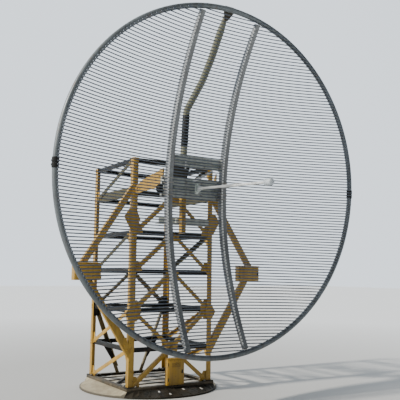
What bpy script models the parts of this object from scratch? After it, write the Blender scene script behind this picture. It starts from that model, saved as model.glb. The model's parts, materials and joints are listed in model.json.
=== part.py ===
"""Grid parabolic antenna on a square steel tower, standing on a round plinth.

Metres, +Z up. The origin is the centre of the plinth's underside and the reflector faces -Y.
The reflector's own pieces are built in the reflector's frame: vertex at zero, facing -Y, up +Z.
"""
import math

import bmesh
import bpy
from mathutils import Matrix, Vector

# Driving dimensions
SEAT = 0.0003
PLINTH_RADIUS = 1.00
PLINTH_EDGE_HEIGHT = 0.02
PLINTH_HEIGHT = 0.08
PLINTH_STEP = 5
APRON_RIDGE = 0.02
FRAME_HALF = 0.69
FRAME_BEAM_WIDTH = 0.08
FOOT_HEIGHT = 0.12
TOWER_HALF = 0.66
LEG_FLANGE = 0.08
LEG_THICKNESS = 0.010
LEVELS = (0.61, 1.135, 1.67, 2.20, 2.75, 3.215)
BEAM_HEIGHT = 0.06
HEAVY_BEAM = (2.715, 2.84)
SIDE_THICKNESS = 0.04
EDGE_WIDTH = 0.05
BRACE_WIDTH = 0.055
DEEP_VEE_FOOT = 0.20
CABINET = ((-0.10, -0.745, FOOT_HEIGHT + SEAT), (0.165, -0.665, 0.485))
OUTRIGGER_BOX = ((1.12, -0.73, 1.548), (1.485, -0.61, 1.778))
STRUT_DEPTH = 0.06
UPPER_STRUT_WIDTH = 0.10
UPPER_STRUT_SHIFT = 0.04
UPPER_STRUT_ROOT = (2.73, 2.87)
LOWER_STRUT_WIDTH = 0.11
LOWER_STRUT_SHIFT = -0.03
LOWER_STRUT_ROOT = (0.51, 0.70)
GUSSET_THICKNESS = 0.010
UPPER_GUSSET = ((0.785, 2.41), (0.71, 2.52), (0.60, 2.52), (0.535, 2.38), (0.62, 2.235), (0.67, 2.215))
LOWER_GUSSET = ((0.725, 1.10), (0.66, 1.20), (0.56, 1.17), (0.56, 1.03), (0.66, 0.99))

# The reflector, in its own frame
FOCAL_LENGTH = 1.754
REFLECTOR_TILT = math.radians(3.25)
VERTEX = Vector((0.0, -1.270, 2.858))
GRID_THICKNESS = 0.012
GRID_INNER_RADIUS = 2.15
GRID_OUTER_RADIUS = 2.22
BARS_PER_HALF = 28
BAR_WIDTH = 0.020
STRIP_WIDTH = 0.030
RIB_OFFSET = 0.43
RIB_GAP_HALF = 0.035
RIB_PROUD = 0.016
RIB_END_DEPTH = 0.065
RIB_MIDDLE_DEPTH = 0.120
RIB_SEGMENTS = 18
RIB_END_GAP = 0.009
RIM_SEAT_RADIUS = 2.191
RIM_TUBE_RADIUS = 0.0345
RIM_FLAT_DEPTH = 0.0008
RIM_SAG = 0.0012
RIM_SEGMENTS = 28
RIM_JOINT_SIZE = (0.060, 0.016, 0.110)
TOP_BRACKET = ((-0.085, 0.03), (-0.08, -0.035), (-0.025, -0.15), (0.025, -0.15), (0.08, -0.035), (0.085, 0.03))
TOP_BRACKET_THICKNESS = 0.012
HUB_BEAM_HALF_LENGTH = 0.47
HUB_BEAM_DEPTH = 0.10
HUB_BEAM_HEIGHTS = (-0.205, 0.065)
UPPER_BEAM_DEPTHS = (0.020, 0.085)
UPPER_BEAM_HEIGHTS = (0.215, 0.365)
LOWER_CLAMP_HEIGHTS = (-0.13, 0.0)
LOWER_CLAMP_WIDTH = 0.14
UPPER_CLAMP_HEIGHTS = (0.24, 0.34)
UPPER_CLAMP_WIDTH = 0.10
BOOM_DROP = 0.07
BOOM_RADIUS = 0.017
BOOM_LENGTH = 1.415
BOOM_BLOCK_HALF = 0.035
BOOM_BLOCK_DEPTH = 0.06
BOOM_BLOCK_HALF_HEIGHT = 0.07
FEED_RADIUS = 0.043
FEED_LENGTH = 0.125

# What carries the reflector, as depths and heights in the tower's frame
HUB_ARM_THICKNESS = 0.020
HUB_ARM_ROOT = (2.735, 2.83)
HUB_ARM_ROOT_OFFSET = 0.615
HUB_ARM_SHOULDER = (0.11, 2.915)
HUB_ARM_FRONT = (-0.055, 0.185)
MAST_LINE = -0.90
MAST_SIZE = 0.076
MAST_BOTTOM = 2.20
MAST_TOP = 3.00
MAST_BRACKET_HALF = 0.05
MAST_BRACKET_HEIGHTS = (2.335, 2.43)
CROSS_BEAM_FRONT = -0.76
CROSS_BEAM_ENDS = (-0.30, 0.53)
ARM_RADIUS = 0.048
ARM_TIP_RADIUS = 0.022
ARM_BENDS = ((-0.90, 3.25), (-0.963, 3.94), (-1.36, 4.25), (-1.60, 4.53))
ARM_ALONG_BRACKET = (-0.36, -0.05)
ARM_BEHIND_BRACKET = 0.038

PAINTS = {
    "yellow": ((0.62, 0.38, 0.06), 0.0, 0.55),
    "dark": ((0.045, 0.05, 0.055), 0.2, 0.6),
    "galvanised": ((0.42, 0.46, 0.50), 0.8, 0.45),
    "rim": ((0.30, 0.33, 0.35), 0.7, 0.5),
    "plinth": ((0.52, 0.46, 0.34), 0.0, 0.9),
    "deck": ((0.06, 0.065, 0.06), 0.1, 0.7),
    "pale": ((0.66, 0.68, 0.66), 0.3, 0.4),
}

for old in list(bpy.data.objects):
    bpy.data.objects.remove(old, do_unlink=True)
antenna = bpy.data.collections.new("grid_parabolic_antenna")
bpy.context.scene.collection.children.link(antenna)

reflector_frame = Matrix.Translation(VERTEX) @ Matrix.Rotation(REFLECTOR_TILT, 4, "X")


def finish(name, data, paint, frame=Matrix.Identity(4)):
    """Puts mesh or curve data in the antenna's collection as one named, painted object."""
    colour, metallic, roughness = PAINTS[paint]
    material = bpy.data.materials.new(name)
    material.use_nodes = True
    shader = material.node_tree.nodes["Principled BSDF"]
    shader.inputs["Base Color"].default_value = (*colour, 1.0)
    shader.inputs["Metallic"].default_value = metallic
    shader.inputs["Roughness"].default_value = roughness
    data.materials.append(material)
    piece = bpy.data.objects.new(name, data)
    piece.matrix_world = frame
    antenna.objects.link(piece)
    return piece


def axes(across, along, origin=(0.0, 0.0, 0.0)):
    """A frame whose X and Y run along two given directions, for a flat outline."""
    x, y = Vector(across), Vector(along)
    columns = Matrix((x, y, x.cross(y))).transposed().to_4x4()
    return Matrix.Translation(origin) @ columns


def box(name, low, high, paint, frame=Matrix.Identity(4)):
    """A rectangular block between two corners."""
    mesh = bpy.data.meshes.new(name)
    shape = bmesh.new()
    bmesh.ops.create_cube(shape, size=1.0)
    size = Vector(high) - Vector(low)
    middle = (Vector(high) + Vector(low)) / 2
    bmesh.ops.scale(shape, vec=size, verts=shape.verts)
    bmesh.ops.translate(shape, vec=middle, verts=shape.verts)
    shape.to_mesh(mesh)
    shape.free()
    return finish(name, mesh, paint, frame)


def cylinder(name, radius, height, paint, frame, segments=48):
    """An upright cylinder that stands on its frame's origin."""
    mesh = bpy.data.meshes.new(name)
    shape = bmesh.new()
    bmesh.ops.create_cone(shape, cap_ends=True, segments=segments, radius1=radius, radius2=radius,
                          depth=height)
    bmesh.ops.translate(shape, vec=(0, 0, height / 2), verts=shape.verts)
    shape.to_mesh(mesh)
    shape.free()
    mesh.shade_smooth()
    mesh.set_sharp_from_angle(angle=math.radians(30))
    return finish(name, mesh, paint, frame)


def plate(name, outline, thickness, paint, frame, holes=()):
    """A flat plate with an outline and holes, centred on its frame's XY plane."""
    curve = bpy.data.curves.new(name, "CURVE")
    curve.dimensions = "2D"
    curve.fill_mode = "BOTH"
    curve.extrude = thickness / 2
    for points in (outline, *holes):
        spline = curve.splines.new("POLY")
        spline.points.add(len(points) - 1)
        for point, (x, y) in zip(spline.points, points):
            point.co = (x, y, 0.0, 1.0)
        spline.use_cyclic_u = True
    return finish(name, curve, paint, frame)


def tube(name, path, radius, paint, frame=Matrix.Identity(4), tip_radius=None):
    """A closed round bar along a path of points, with a thinner tip where one is given."""
    curve = bpy.data.curves.new(name, "CURVE")
    curve.dimensions = "3D"
    curve.bevel_depth = radius
    curve.bevel_resolution = 2
    curve.use_fill_caps = True
    spline = curve.splines.new("POLY")
    spline.points.add(len(path) - 1)
    for point, place in zip(spline.points, path):
        point.co = (*place, 1.0)
    if tip_radius:
        spline.points[-1].radius = tip_radius / radius
    return finish(name, curve, paint, frame)


def loft(name, rings, paint):
    """A closed body through rings of points with the same count, its first and last ring capped flat."""
    shape = bmesh.new()
    layers = [[shape.verts.new(point) for point in ring] for ring in rings]
    for lower, upper in zip(layers, layers[1:]):
        for here in range(len(lower)):
            after = (here + 1) % len(lower)
            shape.faces.new((lower[here], lower[after], upper[after], upper[here]))
    shape.faces.new(layers[0])
    shape.faces.new(layers[-1])
    bmesh.ops.recalc_face_normals(shape, faces=shape.faces)
    mesh = bpy.data.meshes.new(name)
    shape.to_mesh(mesh)
    shape.free()
    return finish(name, mesh, paint)


def rectangle(left, bottom, right, top):
    return [(left, bottom), (right, bottom), (right, top), (left, top)]


def clip(outline, start, end, offset):
    """The part of an outline that lies more than an offset to the left of a line."""
    start, end = Vector(start), Vector(end)
    along = (end - start).normalized()
    left = Vector((-along.y, along.x))

    def height(point):
        return (Vector(point) - start).dot(left) - offset

    kept = []
    for here, there in zip(outline, outline[1:] + outline[:1]):
        a, b = height(here), height(there)
        if a >= 0:
            kept.append(here)
        if a * b < 0:
            crossing = Vector(here).lerp(Vector(there), a / (a - b))
            kept.append((crossing.x, crossing.y))
    return kept


# The plinth slopes up from a round edge to a square top. Its front segment is a piece of its own.
def circle_part(chord, first, last):
    """Points on the plinth's circle between two angles, closed at both ends on a chord across the front."""
    end = circle_height(PLINTH_RADIUS, chord)
    middle = []
    for angle in range(first, last + 1, PLINTH_STEP):
        turn = math.radians(angle)
        middle.append((PLINTH_RADIUS * math.cos(turn), PLINTH_RADIUS * math.sin(turn)))
    side = 1 if middle[0][0] > 0 else -1
    return [(side * end, -chord), *middle, (-side * end, -chord)]


def sloped(name, outline, top, paint):
    """A body from the ground up: an upright edge, then a slope to its flat top."""
    heights = (0.0, PLINTH_EDGE_HEIGHT, PLINTH_HEIGHT)
    rings = []
    for layer, height in zip((outline, outline, top), heights):
        rings.append([(x, y, height) for x, y in layer])
    loft(name, rings, paint)


def build_base():
    outline = circle_part(FRAME_HALF, -40, 220)
    top = []
    for x, y in outline[1:-1]:
        to_square = FRAME_HALF / max(abs(x), abs(y))
        top.append((x * to_square, y * to_square))
    corners = [(FRAME_HALF, -FRAME_HALF), (-FRAME_HALF, -FRAME_HALF)]
    sloped("plinth", outline, [corners[0], *top, corners[1]], "plinth")
    chord = FRAME_HALF + SEAT
    ridge = chord + APRON_RIDGE
    outline = circle_part(chord, -130, -50)
    top = [(-x * ridge / y, -ridge) for x, y in outline[1:-1]]
    sloped("front_deck", outline, [(-FRAME_HALF, -chord), *top, (FRAME_HALF, -chord)], "deck")
    inner = FRAME_HALF - FRAME_BEAM_WIDTH
    frame_height = FOOT_HEIGHT - PLINTH_HEIGHT - SEAT
    middle = (FOOT_HEIGHT + PLINTH_HEIGHT + SEAT) / 2
    plate("base_frame", rectangle(-FRAME_HALF, -FRAME_HALF, FRAME_HALF, FRAME_HALF), frame_height, "dark",
          Matrix.Translation((0, 0, middle)), holes=[rectangle(-inner, -inner, inner, inner)])


# Four angle posts with their corners outwards
def build_legs():
    outline = [(0, 0), (LEG_FLANGE, 0), (LEG_FLANGE, LEG_THICKNESS), (LEG_THICKNESS, LEG_THICKNESS),
               (LEG_THICKNESS, LEG_FLANGE), (0, LEG_FLANGE)]
    top = LEVELS[-1] + BEAM_HEIGHT / 2
    height = top - FOOT_HEIGHT - SEAT
    middle = (top + FOOT_HEIGHT + SEAT) / 2
    corners = (("front_left", -1, -1), ("front_right", 1, -1), ("back_right", 1, 1), ("back_left", -1, 1))
    for quarter, (name, x, y) in enumerate(corners):
        corner = Matrix.Translation((x * TOWER_HALF, y * TOWER_HALF, middle))
        frame = corner @ Matrix.Rotation(quarter * math.pi / 2, 4, "Z")
        plate("leg_" + name, outline, height, "yellow", frame)


# Each side of the tower is one flat lattice: beams, diagonals and the strips behind the legs
def brace_lines(kind, bay, reach):
    """The centre lines of the diagonals that cross one bay, as pairs of points."""
    rails = (FOOT_HEIGHT, *LEVELS)
    low, high = rails[bay - 1], rails[bay]
    if kind == "roof":
        return [((-reach, low), (0, high)), ((0, high), (reach, low))]
    if kind == "vee":
        return [((0, low), (-reach, high)), ((reach, high), (0, low))]
    if kind == "deep vee":
        low, high = rails[0], rails[2]
        return [((-DEEP_VEE_FOOT, low), (-reach, high)), ((reach, high), (DEEP_VEE_FOOT, low))]
    if kind == "rise":
        return [((-reach, low), (reach, high))]
    return []


def beam_edges(heavy):
    """The lower and upper edge of each horizontal beam, the one at the foot first."""
    edges = [(rail - BEAM_HEIGHT / 2, rail + BEAM_HEIGHT / 2) for rail in (FOOT_HEIGHT, *LEVELS)]
    if heavy:
        edges[-2] = HEAVY_BEAM
    return edges


def side_holes(kinds, half, heavy):
    reach = half - EDGE_WIDTH
    edges = beam_edges(heavy)
    holes = []
    for bay, kind in enumerate(kinds, start=1):
        pieces = [rectangle(-reach, edges[bay - 1][1], reach, edges[bay][0])]
        for start, end in brace_lines(kind, bay, reach):
            halves = []
            for piece in pieces:
                halves.append(clip(piece, start, end, BRACE_WIDTH / 2))
                halves.append(clip(piece, end, start, BRACE_WIDTH / 2))
            pieces = [piece for piece in halves if len(piece) > 2]
        holes += pieces
    return holes


def build_sides():
    front_half = TOWER_HALF - LEG_THICKNESS - SEAT
    side_half = front_half - SIDE_THICKNESS - SEAT
    place = front_half - SIDE_THICKNESS / 2
    bottom = FOOT_HEIGHT + SEAT
    top = LEVELS[-1] + BEAM_HEIGHT / 2
    front = ("roof", "vee", "roof", "roof", "roof", "open")
    back = ("deep vee", "deep vee", "roof", "open", "open", "open")
    flank = ("rise", "rise", "open", "rise", "open", "rise")
    sides = {
        "tower_front_side": (front, front_half, axes((1, 0, 0), (0, 0, 1), (0, -place, 0))),
        "tower_back_side": (back, front_half, axes((-1, 0, 0), (0, 0, 1), (0, place, 0))),
        "tower_left_side": (flank, side_half, axes((0, -1, 0), (0, 0, 1), (-place, 0, 0))),
        "tower_right_side": (flank, side_half, axes((0, -1, 0), (0, 0, 1), (place, 0, 0))),
    }
    for name, (kinds, half, frame) in sides.items():
        outline = rectangle(-half, bottom, half, top)
        holes = side_holes(kinds, half, heavy=kinds is flank)
        plate(name, outline, SIDE_THICKNESS, "yellow", frame, holes)


# Outriggers, gusset plates and the control box, all on the front of the tower
def build_front_fittings():
    (inner, box_front, box_bottom), (outer, box_back, box_top) = OUTRIGGER_BOX
    leg_face = TOWER_HALF + SEAT
    strut_place = -TOWER_HALF + STRUT_DEPTH / 2
    gusset_place = -TOWER_HALF - SEAT - GUSSET_THICKNESS / 2
    middle = (inner + outer) / 2
    upper_foot = [middle + UPPER_STRUT_SHIFT + side * UPPER_STRUT_WIDTH / 2 for side in (-1, 1)]
    lower_foot = [middle + LOWER_STRUT_SHIFT + side * LOWER_STRUT_WIDTH / 2 for side in (1, -1)]
    upper = [(x, box_top + SEAT) for x in upper_foot] + [(leg_face, z) for z in UPPER_STRUT_ROOT[::-1]]
    lower = [(x, box_bottom - SEAT) for x in lower_foot] + [(leg_face, z) for z in LOWER_STRUT_ROOT[::-1]]
    for side, sign in (("left", -1), ("right", 1)):
        low, high = sorted((sign * inner, sign * outer))
        box("outrigger_box_" + side, (low, box_front, box_bottom), (high, box_back, box_top), "yellow")
        for part, outline in (("upper", upper), ("lower", lower)):
            points = [(sign * x, z) for x, z in outline]
            plate("outrigger_%s_strut_%s" % (part, side), points, STRUT_DEPTH, "yellow",
                  axes((1, 0, 0), (0, 0, 1), (0, strut_place, 0)))
        for part, outline in (("upper", UPPER_GUSSET), ("lower", LOWER_GUSSET)):
            points = [(sign * x, z) for x, z in outline]
            plate("gusset_%s_%s" % (part, side), points, GUSSET_THICKNESS, "yellow",
                  axes((1, 0, 0), (0, 0, 1), (0, gusset_place, 0)))
    box("control_box", *CABINET, "yellow")


# The reflector: places on the paraboloid, in the reflector's own frame
def on_dish(across, up, behind=0.0):
    """A point on the paraboloid, moved back along the surface's normal."""
    slope_across, slope_up = across / (2 * FOCAL_LENGTH), up / (2 * FOCAL_LENGTH)
    back = Vector((slope_across, 1.0, slope_up)).normalized()
    return Vector((across, -(across ** 2 + up ** 2) / (4 * FOCAL_LENGTH), up)) + back * behind


def circle_height(radius, across):
    return math.sqrt(radius ** 2 - across ** 2)


def bent_grid(name, rows, filled, flip):
    """A sheet of cells on the paraboloid.

    rows holds lines of (across, up), and filled says which cells are metal.
    """
    columns = len(rows[0])
    shape = bmesh.new()
    bmesh.ops.create_grid(shape, x_segments=columns - 1, y_segments=len(rows) - 1, size=1.0)
    shape.verts.ensure_lookup_table()
    spots = sorted(shape.verts, key=lambda v: (round(v.co.y, 5), round(v.co.x, 5)))
    cell = {}
    for number, vert in enumerate(spots):
        cell[vert] = divmod(number, columns)
    empty = []
    for face in shape.faces:
        row = min(cell[vert][0] for vert in face.verts)
        column = min(cell[vert][1] for vert in face.verts)
        if not filled(row, column):
            empty.append(face)
    for vert, (row, column) in cell.items():
        across, up = rows[row][column]
        vert.co = on_dish(across, up)
    bmesh.ops.delete(shape, geom=empty, context="FACES")
    bmesh.ops.remove_doubles(shape, verts=shape.verts, dist=0.0001)
    if flip:
        bmesh.ops.reverse_faces(shape, faces=shape.faces)
    mesh = bpy.data.meshes.new(name)
    shape.to_mesh(mesh)
    shape.free()
    piece = finish(name, mesh, "galvanised", reflector_frame)
    solidify = piece.modifiers.new("thickness", "SOLIDIFY")
    solidify.thickness = GRID_THICKNESS
    solidify.offset = 0.0
    return piece


def bar_edges():
    """The lower and upper edge of each horizontal bar of one half, going up from the middle."""
    pitch = GRID_INNER_RADIUS / (BARS_PER_HALF + 0.5)
    middles = [pitch * (number + 0.5) for number in range(BARS_PER_HALF)]
    return [middle + sign * BAR_WIDTH / 2 for middle in middles for sign in (-1, 1)]


def build_grid():
    inner, outer = RIB_OFFSET - RIB_GAP_HALF, RIB_OFFSET + RIB_GAP_HALF
    heights = [0.001, *bar_edges()]
    centre = [-inner, STRIP_WIDTH - inner, 0.0, inner - STRIP_WIDTH, inner]
    centre_rows = [[(across, up) for across in centre] for up in heights]
    for radius in (GRID_INNER_RADIUS, GRID_OUTER_RADIUS):
        centre_rows.append([(across, circle_height(radius, across)) for across in centre])
    last_centre = len(centre_rows) - 2

    def centre_filled(row, column):
        return row % 2 == 1 or row == last_centre or column in (0, len(centre) - 2)

    side_rows = []
    for up in heights:
        near, far = circle_height(GRID_INNER_RADIUS, up), circle_height(GRID_OUTER_RADIUS, up)
        start = outer + STRIP_WIDTH
        row = [outer, start, start + (near - start) / 3, start + 2 * (near - start) / 3, near, far]
        side_rows.append([(across, up) for across in row])
    side_rows.append([(across, circle_height(GRID_OUTER_RADIUS, across)) for across, up in side_rows[-1]])
    last_side = len(side_rows) - 2

    def side_filled(row, column):
        return row % 2 == 1 or row == last_side or column in (0, len(side_rows[0]) - 2)

    for half, up_sign in (("upper", 1), ("lower", -1)):
        rows = [[(across, up_sign * up) for across, up in row] for row in centre_rows]
        bent_grid("grid_centre_" + half, rows, centre_filled, flip=up_sign > 0)
        for side, sign in (("left", -1), ("right", 1)):
            rows = [[(sign * across, up_sign * up) for across, up in row] for row in side_rows]
            bent_grid("grid_%s_%s" % (side, half), rows, side_filled, flip=sign * up_sign > 0)


# The tube round the edge, in two halves, and the curved ribs behind the grid
def rim_offset():
    """How far the tube's centre lies behind the sheet, with room for its straight segments."""
    return GRID_THICKNESS / 2 + SEAT + RIM_SAG + RIM_TUBE_RADIUS


def behind_rim(thickness):
    """How far the middle of a fitting lies behind the sheet when it is seated on the tube's back."""
    return rim_offset() + RIM_TUBE_RADIUS - RIM_FLAT_DEPTH + SEAT + thickness / 2


def build_rim():
    end_lean = RIM_TUBE_RADIUS * math.tan(math.pi / RIM_SEGMENTS / 2)
    joint_gap = (end_lean + SEAT) / RIM_SEAT_RADIUS
    half_size = Vector(RIM_JOINT_SIZE) / 2
    for half, sign in (("upper", 1), ("lower", -1)):
        path = []
        for number in range(RIM_SEGMENTS + 1):
            angle = joint_gap + (math.pi - 2 * joint_gap) * number / RIM_SEGMENTS
            across, up = RIM_SEAT_RADIUS * math.cos(angle), RIM_SEAT_RADIUS * math.sin(angle) * sign
            path.append(on_dish(across, up, rim_offset()))
        tube("rim_" + half, path, RIM_TUBE_RADIUS, "rim", reflector_frame)
    for side, sign in (("left", -1), ("right", 1)):
        centre = on_dish(sign * RIM_SEAT_RADIUS, 0.0, behind_rim(RIM_JOINT_SIZE[1]))
        slope = math.atan(RIM_SEAT_RADIUS / (2 * FOCAL_LENGTH))
        turn = Matrix.Rotation(-sign * slope, 4, "Z")
        frame = reflector_frame @ Matrix.Translation(centre) @ turn
        box("rim_joint_" + side, -half_size, half_size, "dark", frame)


def rib_half_width():
    """Half the gap between two panels, less the lean of their edges."""
    lean = GRID_THICKNESS / 2 * (RIB_OFFSET + RIB_GAP_HALF) / (2 * FOCAL_LENGTH)
    return RIB_GAP_HALF - lean - SEAT


def build_ribs():
    """Two curved ribs between the grid's panels, from rim to rim. Returns how far back they reach."""
    slope = math.atan(RIM_SEAT_RADIUS / (2 * FOCAL_LENGTH))
    tube_clearance = (RIM_TUBE_RADIUS + RIB_END_GAP) * math.cos(slope)
    end = circle_height(RIM_SEAT_RADIUS, RIB_OFFSET) - tube_clearance
    heights = [end * (2 * number / RIB_SEGMENTS - 1) for number in range(RIB_SEGMENTS + 1)]
    spots = [on_dish(0.0, up, -RIB_PROUD) for up in heights]
    for up in heights[::-1]:
        growth = (RIB_MIDDLE_DEPTH - RIB_END_DEPTH) * (1 - (up / end) ** 2)
        spots.append(on_dish(0.0, up, RIB_END_DEPTH + growth - RIB_PROUD))
    outline = [(spot.y, spot.z) for spot in spots]
    lift = -RIB_OFFSET ** 2 / (4 * FOCAL_LENGTH)
    for side, sign in (("left", -1), ("right", 1)):
        frame = reflector_frame @ axes((0, 1, 0), (0, 0, 1), (sign * RIB_OFFSET, lift, 0))
        plate("rib_" + side, outline, 2 * rib_half_width(), "galvanised", frame)
    return RIB_MIDDLE_DEPTH - RIB_PROUD + lift


# The beams behind the ribs, the arms that carry them and the mast with its bent arm
def in_world(across, back, up):
    return reflector_frame @ Vector((across, back, up))


def build_clamp(name, back, heights, mast_front, width):
    """A plate from a beam of the reflector back to the mast or its arm."""
    low, high = (in_world(0, back + SEAT, up) for up in heights)
    outline = [(low.y, low.z), (mast_front, low.z), (mast_front, high.z), (high.y, high.z)]
    plate(name, outline, width, "dark", axes((0, 1, 0), (0, 0, 1)))


def build_hub_arms(beam_back):
    """Two plates from the main beam back and outwards to the tower's front posts."""
    leg_face = -TOWER_HALF - SEAT
    low, high = (in_world(0, beam_back, up) for up in HUB_ARM_FRONT)
    reach, shoulder = HUB_ARM_SHOULDER
    outline = [(leg_face, HUB_ARM_ROOT[0]), (low.y, low.z), (high.y, high.z),
               (leg_face - reach, shoulder), (leg_face, HUB_ARM_ROOT[1])]
    splay = (HUB_ARM_ROOT_OFFSET - RIB_OFFSET) / (leg_face - low.y)
    for side, sign in (("left", -1), ("right", 1)):
        faces = []
        for edge in (-HUB_ARM_THICKNESS / 2, HUB_ARM_THICKNESS / 2):
            faces.append([(sign * (RIB_OFFSET + splay * (y - low.y)) + edge, y, z) for y, z in outline])
        loft("hub_arm_" + side, faces, "yellow")


def build_hub(rib_back):
    half = HUB_BEAM_HALF_LENGTH
    beam_front = rib_back + SEAT
    beam_back = beam_front + HUB_BEAM_DEPTH
    low, high = HUB_BEAM_HEIGHTS
    box("hub_main_beam", (-half, beam_front, low), (half, beam_back, high), "galvanised", reflector_frame)
    build_hub_arms(beam_back + SEAT)
    half = RIB_OFFSET - rib_half_width() - SEAT
    front, back = UPPER_BEAM_DEPTHS
    low, high = UPPER_BEAM_HEIGHTS
    box("hub_upper_beam", (-half, front, low), (half, back, high), "galvanised", reflector_frame)
    build_clamp("mast_clamp_lower", beam_back, LOWER_CLAMP_HEIGHTS, MAST_LINE - MAST_SIZE / 2 - SEAT,
                LOWER_CLAMP_WIDTH)
    build_clamp("mast_clamp_upper", back, UPPER_CLAMP_HEIGHTS, MAST_LINE - ARM_RADIUS - SEAT,
                UPPER_CLAMP_WIDTH)


def build_mast():
    half = MAST_SIZE / 2
    tower_face = -(TOWER_HALF - LEG_THICKNESS)
    box("mast", (-half, MAST_LINE - half, MAST_BOTTOM), (half, MAST_LINE + half, MAST_TOP), "yellow")
    low, high = MAST_BRACKET_HEIGHTS
    mast_back = MAST_LINE + half + SEAT
    left, right = CROSS_BEAM_ENDS
    outline = [(left, tower_face), (left, CROSS_BEAM_FRONT), (-MAST_BRACKET_HALF, CROSS_BEAM_FRONT),
               (-MAST_BRACKET_HALF, mast_back), (MAST_BRACKET_HALF, mast_back),
               (MAST_BRACKET_HALF, CROSS_BEAM_FRONT), (right, CROSS_BEAM_FRONT), (right, tower_face)]
    plate("mast_foot_bracket", outline, high - low, "dark", Matrix.Translation((0, 0, (low + high) / 2)))
    slope = math.atan(RIM_SEAT_RADIUS / (2 * FOCAL_LENGTH))
    seat = Matrix.Translation(on_dish(0, RIM_SEAT_RADIUS, behind_rim(TOP_BRACKET_THICKNESS)))
    frame = reflector_frame @ seat @ Matrix.Rotation(slope, 4, "X") @ axes((1, 0, 0), (0, 0, 1))
    plate("rim_top_bracket", TOP_BRACKET, TOP_BRACKET_THICKNESS, "dark", frame)
    path = [(0, MAST_LINE, MAST_TOP + SEAT)]
    path += [(0, y, z) for y, z in ARM_BENDS]
    path += [frame @ Vector((0, along, -ARM_BEHIND_BRACKET)) for along in ARM_ALONG_BRACKET]
    tube("mast_arm", path, ARM_RADIUS, "yellow", tip_radius=ARM_TIP_RADIUS)


# The feed on its boom
def build_feed():
    half = BOOM_BLOCK_HALF
    low, high = -BOOM_DROP - BOOM_BLOCK_HALF_HEIGHT, -BOOM_DROP + BOOM_BLOCK_HALF_HEIGHT
    flat_reach = RIB_OFFSET - RIB_GAP_HALF - STRIP_WIDTH
    facet_rise = half * flat_reach / (4 * FOCAL_LENGTH)
    second_bar_edge = -bar_edges()[3]
    seat = on_dish(0, second_bar_edge).y - facet_rise - GRID_THICKNESS / 2 - SEAT
    start = seat - BOOM_BLOCK_DEPTH
    box("boom_block", (-half, start, low), (half, seat, high), "pale", reflector_frame)
    end = start - SEAT - BOOM_LENGTH
    path = [(0, start - SEAT, -BOOM_DROP), (0, end, -BOOM_DROP)]
    tube("feed_boom", path, BOOM_RADIUS, "pale", reflector_frame)
    facing = Matrix.Translation((0, end - SEAT, -BOOM_DROP)) @ Matrix.Rotation(math.pi / 2, 4, "X")
    cylinder("feed", FEED_RADIUS, FEED_LENGTH, "pale", reflector_frame @ facing, segments=20)


build_base()
build_legs()
build_sides()
build_front_fittings()
build_grid()
build_rim()
build_hub(build_ribs())
build_mast()
build_feed()
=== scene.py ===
# %% [markdown]
# A grid reflector, four and a half metres across, on a square steel tower.
# The tower is painted yellow, its cross beams are dark, and the reflector is galvanised steel.
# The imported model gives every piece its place. This script dresses it: it adds the fine grid, the bolts,
# the angle sections and the finish of each surface.

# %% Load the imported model
import json
import math

import bmesh
import bpy
from mathutils import Matrix, Vector

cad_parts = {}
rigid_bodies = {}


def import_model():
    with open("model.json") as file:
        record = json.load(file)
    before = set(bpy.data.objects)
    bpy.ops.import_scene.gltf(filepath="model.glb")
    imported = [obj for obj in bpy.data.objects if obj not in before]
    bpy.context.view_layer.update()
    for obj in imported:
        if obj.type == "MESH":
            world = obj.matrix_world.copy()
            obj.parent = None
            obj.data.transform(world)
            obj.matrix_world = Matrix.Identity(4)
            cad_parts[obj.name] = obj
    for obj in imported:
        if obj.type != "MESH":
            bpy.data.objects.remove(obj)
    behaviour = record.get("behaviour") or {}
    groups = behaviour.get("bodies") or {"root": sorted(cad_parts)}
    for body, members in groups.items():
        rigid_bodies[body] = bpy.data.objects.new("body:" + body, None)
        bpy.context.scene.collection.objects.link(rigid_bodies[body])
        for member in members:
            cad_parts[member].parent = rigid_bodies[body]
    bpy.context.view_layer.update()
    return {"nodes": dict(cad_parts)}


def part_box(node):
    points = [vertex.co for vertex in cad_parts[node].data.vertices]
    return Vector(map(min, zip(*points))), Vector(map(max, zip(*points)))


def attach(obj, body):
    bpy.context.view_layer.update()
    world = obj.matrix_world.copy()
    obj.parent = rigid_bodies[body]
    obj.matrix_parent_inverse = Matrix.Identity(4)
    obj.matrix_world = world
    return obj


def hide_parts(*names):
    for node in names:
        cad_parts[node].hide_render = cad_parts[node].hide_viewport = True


for old in list(bpy.data.objects):
    bpy.data.objects.remove(old, do_unlink=True)
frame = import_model()

# %% [markdown]
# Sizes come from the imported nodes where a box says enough. The reflector is a paraboloid, which a box
# can't describe, so its focal length, vertex and tilt are given here, as they are in the model.

# %% Sizes
leg_low, leg_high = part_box("leg_front_left")
TOWER_HALF = -leg_low.x
LEG_FLANGE = leg_high.x - leg_low.x
LEG_THICKNESS = 0.010
FOOT_HEIGHT = leg_low.z
TOWER_TOP = leg_high.z
LEVELS = (0.61, 1.135, 1.67, 2.20, 2.75, 3.215)
FOCAL_LENGTH = 1.754
REFLECTOR_TILT = math.radians(3.25)
VERTEX = Vector((0.0, -1.270, 2.858))
RIM_SEAT_RADIUS = 2.191
RIM_TUBE_RADIUS = 0.0345
RIM_OFFSET = 0.042
RIB_OFFSET = 0.43
RIB_WIDTH = 0.0676
RIB_PROUD = 0.016
RIB_END_DEPTH = 0.065
RIB_MIDDLE_DEPTH = 0.120
RIB_LIFT = -RIB_OFFSET ** 2 / (4 * FOCAL_LENGTH)
BAR_PITCH = 0.0385
BAR_RADIUS = 0.0076
SKIN_GAP = 0.0002
SEAT_GAP = 0.0003

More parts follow.
